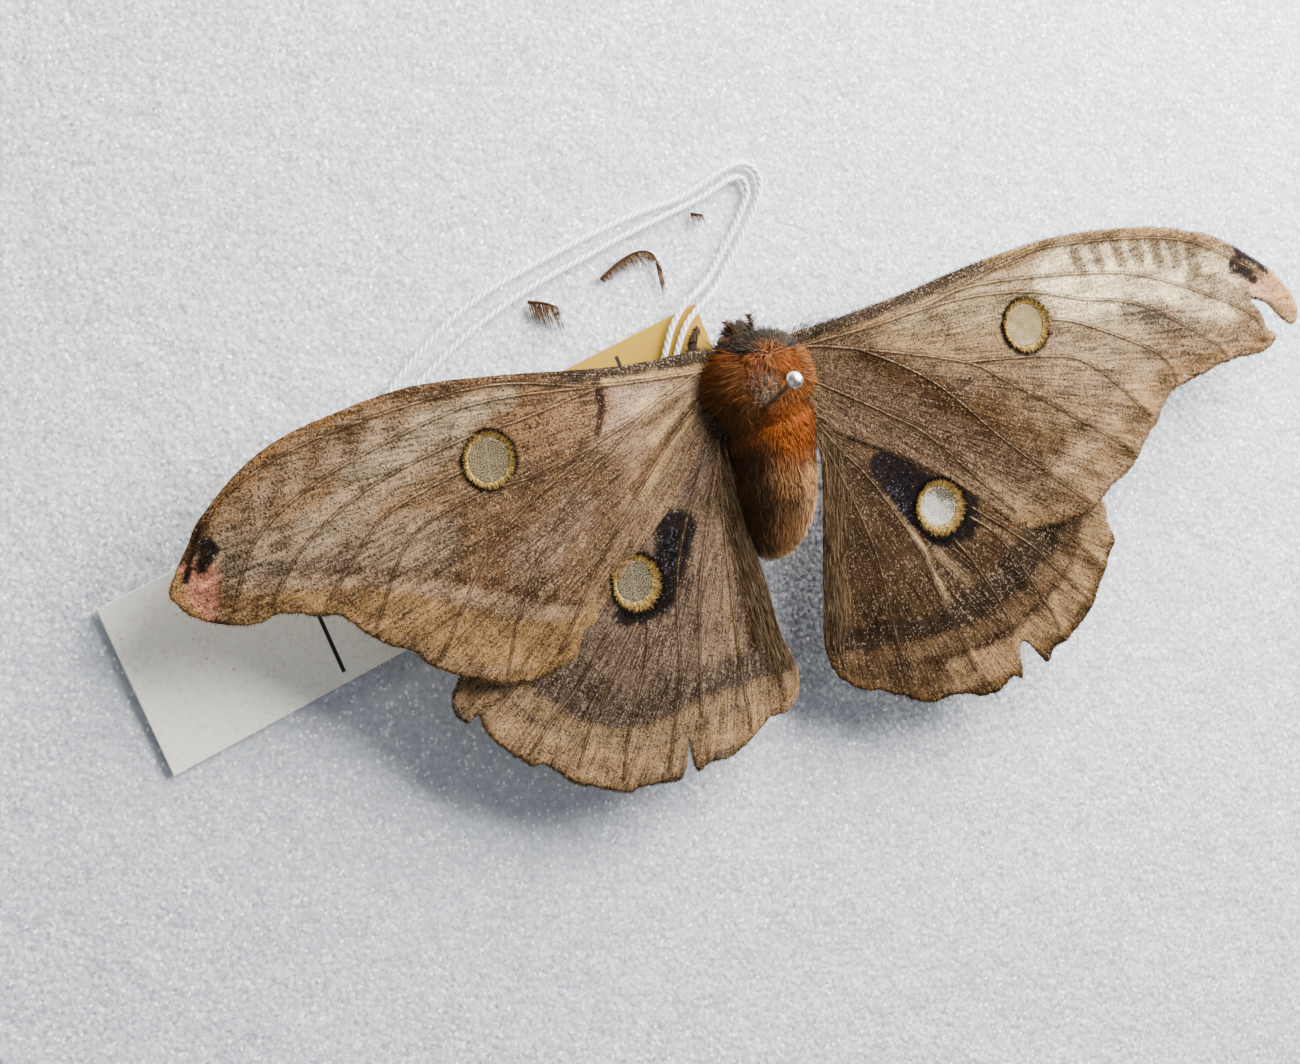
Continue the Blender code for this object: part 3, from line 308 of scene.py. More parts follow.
def twistedTube(path, radius, plies, pitch, sides=36, alongStep=0.12):
    # A round string whose section has as many lobes as plies and turns along its length.
    line = evenPoints(path, alongStep)
    ahead = unit(np.gradient(line, axis=0))
    across = unit(np.cross(ahead, [0.0, 0.0, 1.0]))
    angles = 2 * math.pi * np.arange(sides) / sides
    turn = 2 * math.pi * alongStep * np.arange(len(line)) / pitch
    lobes = np.abs(np.cos(plies * (angles[None, :] - turn[:, None]) / 2))
    reach = radius * (0.78 + 0.22 * lobes)
    ends = np.minimum(np.arange(len(line)), np.arange(len(line))[::-1]) * alongStep
    reach *= np.sqrt(np.clip(ends / (0.8 * radius), 0.03, 1))[:, None]
    points = ringPoints(line, across, np.cross(across, ahead), reach, sides)
    first = np.stack([np.zeros(sides - 2, int), np.arange(2, sides), np.arange(1, sides - 1)], 1)
    last = first[:, ::-1] + (len(line) - 1) * sides
    walls = limbFaces(len(line), sides)[:-2 * sides]
    return points, np.vstack([walls, first, last])[:, ::-1], (0.5 + 0.5 * lobes).ravel()


def makeCottonString():
    # Twisted cotton: matt white and softly fuzzy. Down in the twist it is painted greyer, a painted shade in
    # the grooves between the plies.
    add, finish = newMaterial("twisted cotton")
    place = add("TexCoord", {}, "Object")
    twist = add("Attribute:twist", {}, "Fac")
    fibre = add("TexNoise", {"Vector": place, "Scale": 1 / (0.12 * mm), "Detail": 3.0})
    # Painted shade: grey in the grooves of the twist, white on the crowns of the plies.
    grooveShade = add("MapRange", {0: twist, 1: 0.5, 2: 0.95})
    loose = add("MapRange", {0: fibre, 1: 0.35, 2: 0.7, 4: 0.25})
    colour = add("Mix", {0: grooveShade, 6: "#b9b6ac", 7: "#ffffff"}, 2)
    colour = add("Mix", {0: loose, 6: colour, 7: "#dedbd0"}, 2)
    relief = add("Bump", {"Height": fibre, "Distance": 0.05 * mm, "Strength": 0.6})
    return finish({"Base Color": colour, "Normal": relief, "Roughness": 0.85, "Sheen Weight": 0.3})


cottonString = makeCottonString()
strandPieces = {}
strandPaths = {}
for name, route in stringRoutes.items():
    # The first points lie on the card, one bridges its edge, and the rest lie on the foam.
    low, high = string["low"], string["high"]
    heights = [low + 0.1] + [high] * 5 + [string["bridge"]] + [low] * (len(route) - 7)
    centreline = inPlace(evenPoints(np.column_stack([route, heights]), string["step"]))
    points, faces, twist = twistedTube(centreline, string["width"] / 2, string["plies"], string["twist"])
    mesh = newMesh(name, points, faces)
    addAttribute(mesh, "twist", twist)
    strandPieces[name] = addPiece(name + "_strand", mesh, cottonString, "string", (name,))
    strandPaths[name] = evenPoints(centreline, 0.8)


def knotMesh():
    # An overhand knot pulled tight: a short trefoil of the same string round its own core.
    count, sides = 60, 10
    turns = 2 * math.pi * np.arange(count) / count
    loops = np.column_stack([np.sin(turns) + 2 * np.sin(2 * turns), np.cos(turns) - 2 * np.cos(2 * turns),
                             -np.sin(3 * turns)]) / 3.2
    route = np.array(string["knotCentre"]) + loops * (np.array(string["knotRadii"]) - string["width"] * 0.42)
    ahead = unit(np.roll(route, -1, axis=0) - np.roll(route, 1, axis=0))
    across = unit(np.cross(ahead, [0.1, 0.2, 1.0]))
    angles = 2 * math.pi * np.arange(sides) / sides
    lobes = 0.82 + 0.18 * np.abs(np.cos(1.5 * (angles - 0.9 * np.arange(count)[:, None])))
    points = ringPoints(route, across, np.cross(across, ahead), string["width"] / 2 * lobes, sides)
    faces = limbFaces(count + 1, sides)[:-2 * sides, ::-1] % (count * sides)
    mesh = newMesh("knot", inPlace(points), faces)
    addAttribute(mesh, "twist", np.full(len(points), 0.85))
    return mesh


knotPiece = addPiece("string_knot", knotMesh(), cottonString, "string", ("tag_string_knot",))
for name, piece in strandPieces.items():
    path = strandPaths[name]
    length = float(np.linalg.norm(np.diff(path, axis=0), axis=1).sum())
    [tuple(p * mm) for p in path]
    print(f"string laid: {name}, {length:.1f} mm")

# Studio: a pale floor, a large soft window light from the upper right and a dim, cool surround.
studio = {
    "floorSize": 3000.0, "keyPlace": (140.0, 200.0, 145.0), "keySize": 300.0, "keyPower": 6.5,
    "fillPlace": (-420.0, -200.0, 300.0), "fillSize": 500.0, "fillPower": 0.6,
    "surround": "#ccd2de", "surroundStrength": 0.38,
}


def makeStudio():
    half = studio["floorSize"] / 2
    corners = [(-half, -half, 0), (half, -half, 0), (half, half, 0), (-half, half, 0)]
    mesh = newMesh("floor", corners, [(0, 1, 2, 3)])
    add, finish = newMaterial("painted studio floor")
    shade = add("TexNoise", {"Vector": add("TexCoord", {}, "Object"), "Scale": 1 / (60 * mm), "Detail": 3.0})
    colour = add("Mix", {0: shade, 6: "#d9d8d5", 7: "#e6e5e2"}, 2)
    mesh.materials.append(finish({"Base Color": colour, "Roughness": 0.7}))
    looseObject("floor", mesh)
    for name, tint in (("key", (1.0, 0.985, 0.96)), ("fill", (0.9, 0.95, 1.0))):
        lamp = bpy.data.lights.new(name, "AREA")
        lamp.size = studio[name + "Size"] * mm
        lamp.energy = studio[name + "Power"]
        lamp.color = tint
        holder = bpy.data.objects.new(name, lamp)
        spot = Vector(studio[name + "Place"]) * mm
        holder.location = spot
        holder.rotation_euler = (-spot).to_track_quat("-Z", "Y").to_euler()
        bpy.context.scene.collection.objects.link(holder)
    world = bpy.data.worlds.new("surround")
    world.use_nodes = True
    setNode(world.node_tree, world.node_tree.nodes["Background"], {
        "Color": studio["surround"], "Strength": studio["surroundStrength"]})
    bpy.context.scene.world = world


makeStudio()
print("studio ready")


def filledSheet(rim, holes, spacing, keepOff=0.5):
    # Triangles that fill a closed outline with points on an even pattern, apart from round holes,
    # each a centre and a radius. Returns the flat points and the triangles, facing up.
    rim = np.asarray(rim, float)[:, :2]
    points = [tuple(p) for p in rim]
    edges = []
    for centre, radius in holes:
        sides = max(16, int(2 * math.pi * radius / spacing))
        first = len(points)
        for k in range(sides):
            angle = 2 * math.pi * k / sides
            points.append((centre[0] + radius * math.cos(angle), centre[1] + radius * math.sin(angle)))
            edges.append((first + k, first + (k + 1) % sides))
    low, high = rim.min(0), rim.max(0)
    rows = np.arange(low[1] + spacing / 2, high[1], spacing * 0.866)
    columns = np.arange(low[0] + spacing / 2, high[0], spacing)
    grid = np.array([(x + spacing / 2 * (j % 2), y) for j, y in enumerate(rows) for x in columns])
    inside = np.zeros(len(grid), bool)
    following = np.roll(rim, -1, axis=0)
    for a, b in zip(rim, following):
        crosses = (a[1] > grid[:, 1]) != (b[1] > grid[:, 1])
        if a[1] != b[1]:
            where = a[0] + (grid[:, 1] - a[1]) * (b[0] - a[0]) / (b[1] - a[1])
            inside ^= crosses & (grid[:, 0] < where)
    grid = grid[inside]
    away, _ = pathGap(grid[:, 0], grid[:, 1], np.vstack([rim, rim[:1]]))
    keep = away > spacing * keepOff
    for centre, radius in holes:
        keep &= np.hypot(grid[:, 0] - centre[0], grid[:, 1] - centre[1]) > radius + spacing * keepOff
    points += [tuple(p) for p in grid[keep]]
    result = geometry.delaunay_2d_cdt([Vector(p) for p in points], edges, [list(range(len(rim)))], 1, 1e-4)
    flat = np.array([tuple(p) for p in result[0]])
    triangles = np.array(result[2])
    middle = flat[triangles].mean(1)
    for centre, radius in holes:
        triangles = triangles[np.hypot(middle[:, 0] - centre[0], middle[:, 1] - centre[1]) > radius]
        middle = flat[triangles].mean(1)
    a, b, c = (flat[triangles[:, k]] for k in range(3))
    up = (b[:, 0] - a[:, 0]) * (c[:, 1] - a[:, 1]) - (b[:, 1] - a[:, 1]) * (c[:, 0] - a[:, 0])
    triangles[up < 0] = triangles[up < 0][:, ::-1]
    used = np.unique(triangles)
    lookup = np.full(len(flat), -1)
    lookup[used] = np.arange(len(used))
    return flat[used], lookup[triangles]


def rimOf(triangles):
    # Directed edges that only one triangle has.
    pairs = np.concatenate([triangles[:, [0, 1]], triangles[:, [1, 2]], triangles[:, [2, 0]]])
    size = int(triangles.max()) + 1
    forward = pairs[:, 0] * size + pairs[:, 1]
    backward = pairs[:, 1] * size + pairs[:, 0]
    return pairs[~np.isin(forward, backward)]


def closedSheet(flat, triangles, top, bottom, walls=()):
    # A closed body between two heights over a flat sheet. Each of its walls says how far the rim is
    # pushed out there, and its height. Returns the points, the faces and, for each point, the flat point
    # it stands over.
    count = len(flat)
    edges = rimOf(triangles)
    rim = np.unique(edges)
    along = flat[edges[:, 1]] - flat[edges[:, 0]]
    outward = np.zeros((count, 2))
    for end in (0, 1):
        np.add.at(outward, edges[:, end], np.column_stack([along[:, 1], -along[:, 0]]))
    points = [np.column_stack([flat, top]), np.column_stack([flat, bottom])]
    owner = [np.arange(count), np.arange(count)]
    faces = [triangles, triangles[:, ::-1] + count]
    levels = [np.arange(count)]
    for number, (push, height) in enumerate(walls):
        points.append(np.column_stack([flat[rim] + unit(outward[rim]) * push, np.full(len(rim), height)]))
        owner.append(rim)
        levels.append(np.zeros(count, int))
        levels[-1][rim] = 2 * count + number * len(rim) + np.arange(len(rim))
    levels.append(np.arange(count) + count)
    for upper, lower in zip(levels, levels[1:]):
        a, b, c, d = upper[edges[:, 0]], upper[edges[:, 1]], lower[edges[:, 1]], lower[edges[:, 0]]
        faces += [np.column_stack([b, a, d]), np.column_stack([b, d, c])]
    return np.vstack(points), np.vstack(faces), np.concatenate(owner)


# Foam: a block of closed-cell foam, cut smooth, with a fine dimpled skin that glistens.
foam = {
    "size": (162.0, 130.0), "corner": 3.0, "edge": 0.5, "spacing": 1.2,
    "dimple": 0.22, "dimpleSize": 2.4, "cell": 0.75, "glint": 0.3, "tilt": 0.34,
    # Shares of the edge by which the side stands out, and the heights there.
    "walls": ((0.7, foamTop - 0.15), (1.0, foamTop - 0.5), (1.0, foamTop * 0.5), (1.0, 0.4), (0.7, 0.08)),
}


def makeFoamSkin():
    # Closed-cell foam: matt white cells, each wall tilted its own way, so that a few catch the light. The
    # dents between the cells are painted darker grey, a painted shade, and the cells that glint are also
    # painted white, a painted highlight.
    add, finish = newMaterial("closed-cell foam")
    place = add("TexCoord", {}, "Object")
    cells = add("TexVoronoi", {"Vector": place, "Scale": 1 / (foam["cell"] * mm)}, "Distance")
    tone = add("SeparateColor", {"Color": cells.node.outputs["Color"]}).node.outputs
    facets = add("TexVoronoi", {"Vector": place, "Scale": 1 / (foam["glint"] * mm)}, "Color")
    flash = add("SeparateColor", {"Color": facets}, 2)
    drift = add("TexNoise", {"Vector": place, "Scale": 1 / (9 * mm)})
    colour = add("Mix", {0: tone[0], 6: "#c0c3ca", 7: "#d2d5da"}, 2)
    # Painted shade: darker grey in the dents between the cells, where the relief sinks.
    dentShade = add("MapRange", {0: cells, 1: 0.1, 2: 0.75, 4: 0.35})
    colour = add("Mix", {0: dentShade, 6: colour, 7: "#9fa2a8"}, 2)
    cloud = add("MapRange", {0: drift, 1: 0.3, 2: 0.7, 4: 0.2})
    colour = add("Mix", {0: cloud, 6: colour, 7: "#dcdfe4"}, 2)
    # Painted highlight: the few glinting cells are also painted white.
    lit = add("Math:GREATER_THAN", {0: flash, 1: 0.94})
    colour = add("Mix", {0: lit, 6: colour, 7: "#ffffff"}, 2)
    rough = add("MapRange", {0: lit, 3: 0.6, 4: 0.16})
    dent = add("Math:MULTIPLY", {0: cells, 1: -0.6})
    relief = add("Math:MULTIPLY_ADD", {0: tone[2], 1: 0.35, 2: dent})
    relief = add("Bump", {"Height": relief, "Distance": 0.2 * mm, "Strength": 0.8})
    return finish({"Base Color": colour, "Roughness": rough,
                   "Normal": tiltedNormal(add, facets, foam["tilt"], relief),
                   "Subsurface Weight": 0.1, "Subsurface Scale": 1.5 * mm})


def foamMesh():
    length, width = foam["size"]
    corner, reach = foam["corner"], foam["corner"] - foam["edge"]
    rim = []
    for k, (sx, sy) in enumerate(((1, 1), (-1, 1), (-1, -1), (1, -1))):
        for angle in math.pi / 2 * (k + np.arange(7) / 6):
            rim.append((sx * (length / 2 - corner) + reach * math.cos(angle),
                        sy * (width / 2 - corner) + reach * math.sin(angle)))
    flat, triangles = filledSheet(curvePoints(rim, foam["spacing"], True), [], foam["spacing"])
    dips = np.abs(lumps(onPlane(flat), foam["dimpleSize"]))
    away = np.minimum(length / 2 - np.abs(flat[:, 0]), width / 2 - np.abs(flat[:, 1]))
    top = foamTop - foam["dimple"] * np.clip(dips * 1.6, 0, 1) * softStep(away, 0.6, 2.5)
    walls = [(foam["edge"] * push, height) for push, height in foam["walls"]]
    points, faces, _ = closedSheet(flat, triangles, top, np.zeros(len(flat)), walls)
    return newMesh("foam", points, faces)


addPiece("foam_block", foamMesh(), makeFoamSkin(), "foam", ("stand_foam",))
print("foam cut")

# Pin: a steel pin with a domed head, leaning to the moth's head.
pin = {
    "entry": (-1.9, -1.0, 23.4), "lean": (-0.31, 2.40, 6.57), "shaft": 0.35, "head": (0.95, 0.75),
    "above": 7.0, "length": 30.0, "sides": 40,
}


def turnedMesh(name, profile, origin, axis, sides):
    # Turns a profile of radii and heights round an axis. Its first and last points are on the axis.
    axis = Vector(axis).normalized()
    across = axis.orthogonal().normalized()
    rise = axis.cross(across)
    profile = np.array(profile)
    line = np.array(origin) + np.outer(profile[:, 1], axis)
    rings = len(profile) - 2
    points = ringPoints(line[1:-1], np.tile(across, (rings, 1)), np.tile(rise, (rings, 1)),
                        profile[1:-1, :1], sides)
    return newMesh(name, inPlace(np.vstack([points, line[[0, -1]]])), limbFaces(rings, sides)[:, ::-1])


def makePinSteel():
    # Bright nickelled steel: clear reflections, softened by fine lengthwise scratches and a dull film.
    add, finish = newMaterial("nickelled steel")
    place = add("TexCoord", {}, "Object")
    film = add("TexNoise", {"Vector": place, "Scale": 1 / (0.5 * mm), "Detail": 3.0})
    colour = add("Mix", {0: film, 6: "#a9a7a2", 7: "#dddbd6"}, 2)
    rough = add("MapRange", {0: film, 1: 0.3, 2: 0.7, 3: 0.2, 4: 0.36})
    scratch = add("TexNoise", {"Vector": place, "Scale": 1 / (0.09 * mm)})
    relief = add("Bump", {"Height": scratch, "Distance": 0.008 * mm, "Strength": 0.5})
    return finish({"Base Color": colour, "Roughness": rough, "Normal": relief, "Metallic": 1.0})


def pinMesh():
    radius, half = pin["head"]
    profile = [(0.0, half)]
    for k in range(1, 12):
        angle = math.pi / 2 - math.pi * k / 12.6
        profile.append((radius * math.cos(angle), half * math.sin(angle)))
    profile += [(pin["shaft"] * 1.25, -half), (pin["shaft"], -half - 0.25), (pin["shaft"], -12.0),
                (pin["shaft"], 3.5 - pin["length"]), (0.12, 0.3 - pin["length"]), (0.0, -pin["length"])]
    axis = Vector(pin["lean"]).normalized()
    return turnedMesh("pin", profile, Vector(pin["entry"]) + axis * pin["above"], axis, pin["sides"])


addPiece("insect_pin", pinMesh(), makePinSteel(), "pin", ("stand_pin",))

# Tag: a ruled card, cream at one end and yellowed at the other, with a punched hole for its string.
tag = {
    "size": (74.0, 18.4, 0.5), "centre": (-35.1, -8.2), "turn": math.radians(15.2),
    "hole": (-7.9, 1.5), "holeRadius": 1.6, "spacing": 0.8, "pinHole": 0.65,
    "rules": (-16.35, 25.9), "ruleWidth": 0.17,     # places along the card, and their half width
}


def makeCard():
    # Smooth manila card: cream, yellowed where it is old, with fibres, foxing and two printed rules.
    add, finish = newMaterial("manila card")
    place = add("Attribute:cardPlace", {}, "Vector")
    axes = add("SeparateXYZ", {0: place}).node.outputs
    spot = add("TexCoord", {}, "Object")
    fibre = add("TexNoise", {"Vector": spot, "Scale": 1 / (0.5 * mm), "Detail": 4.0})
    stain = add("TexNoise", {"Vector": spot, "Scale": 1 / (6 * mm), "Detail": 3.0})
    speck = add("TexNoise", {"Vector": spot, "Scale": 1 / (1.1 * mm), "Detail": 1.0})
    fade = add("Math:MULTIPLY_ADD", {0: stain, 1: 8.0, 2: axes[0]})
    colour = add("Mix", {0: add("MapRange", {0: fade, 1: -10.0, 2: 10.0}), 6: "#e9e6d8", 7: "#a58229"}, 2)
    thread = add("MapRange", {0: fibre, 1: 0.45, 2: 0.75, 4: 0.22})
    colour = add("Mix", {0: thread, 6: colour, 7: "#98772f"}, 2)
    foxing = add("MapRange", {0: speck, 1: 0.72, 2: 0.8, 4: 0.5})
    colour = add("Mix", {0: foxing, 6: colour, 7: "#a3854f"}, 2)
    upper = add("MapRange", {0: axes[2], 1: 0.3, 2: 0.6})
    across = add("MapRange", {0: add("Math:ABSOLUTE", {0: axes[1]}), 1: 8.0, 2: 8.2, 3: 1.0,
                              4: 0.0})
    for rule in tag["rules"]:
        away = add("Math:SUBTRACT", {0: axes[0], 1: rule})
        away = add("Math:ABSOLUTE", {0: away})
        ink = add("MapRange", {0: away, 1: tag["ruleWidth"], 2: tag["ruleWidth"] + 0.12, 3: 1.0, 4: 0.0})
        ink = add("Math:MULTIPLY", {0: ink, 1: across})
        ink = add("Math:MULTIPLY", {0: ink, 1: upper})
        colour = add("Mix", {0: ink, 6: colour, 7: "#23211e"}, 2)
    relief = add("Bump", {"Height": fibre, "Distance": 0.02 * mm, "Strength": 0.5})
    return finish({"Base Color": colour, "Normal": relief, "Roughness": 0.72, "Specular IOR Level": 0.15})


def tagMesh():
    length, width, thick = tag["size"]
    c, s = math.cos(tag["turn"]), math.sin(tag["turn"])
    corners = [(-length / 2, -width / 2), (length / 2, -width / 2), (length / 2, width / 2),
               (-length / 2, width / 2)]
    rim = []
    for k in range(4):
        a, b = np.array(corners[k]), np.array(corners[(k + 1) % 4])
        pieces = int(np.linalg.norm(b - a) / tag["spacing"])
        rim += [a + (b - a) * t / pieces for t in range(pieces)]
    offset = np.array(tag["hole"]) - np.array(tag["centre"])
    hole = (offset[0] * c + offset[1] * s, -offset[0] * s + offset[1] * c)
    # The pin comes down through the card beside its hole.
    axis = Vector(pin["lean"]).normalized()
    entry = Vector(pin["entry"]) - axis * ((pin["entry"][2] - foamTop - gap) / axis.z)
    offset = np.array(entry[:2]) - np.array(tag["centre"])
    prick = (offset[0] * c + offset[1] * s, -offset[0] * s + offset[1] * c)
    flat, triangles = filledSheet(rim, [(hole, tag["holeRadius"]), (prick, tag["pinHole"])], tag["spacing"])
    low = foamTop + gap
    points, faces, _ = closedSheet(flat, triangles, np.full(len(flat), low + thick),
                                   np.full(len(flat), low), [(0.04, low + thick / 2)])
    card = np.column_stack([points[:, :2], (points[:, 2] - low) / thick])
    turned = np.column_stack([points[:, 0] * c - points[:, 1] * s + tag["centre"][0],
                              points[:, 0] * s + points[:, 1] * c + tag["centre"][1], points[:, 2]])
    mesh = newMesh("tag", inPlace(turned), faces)
    addAttribute(mesh, "cardPlace", card, "FLOAT_VECTOR")
    return mesh


addPiece("tag_card", tagMesh(), makeCard(), "tag_card", ("tag",), smooth=False)
print("pin and tag set")
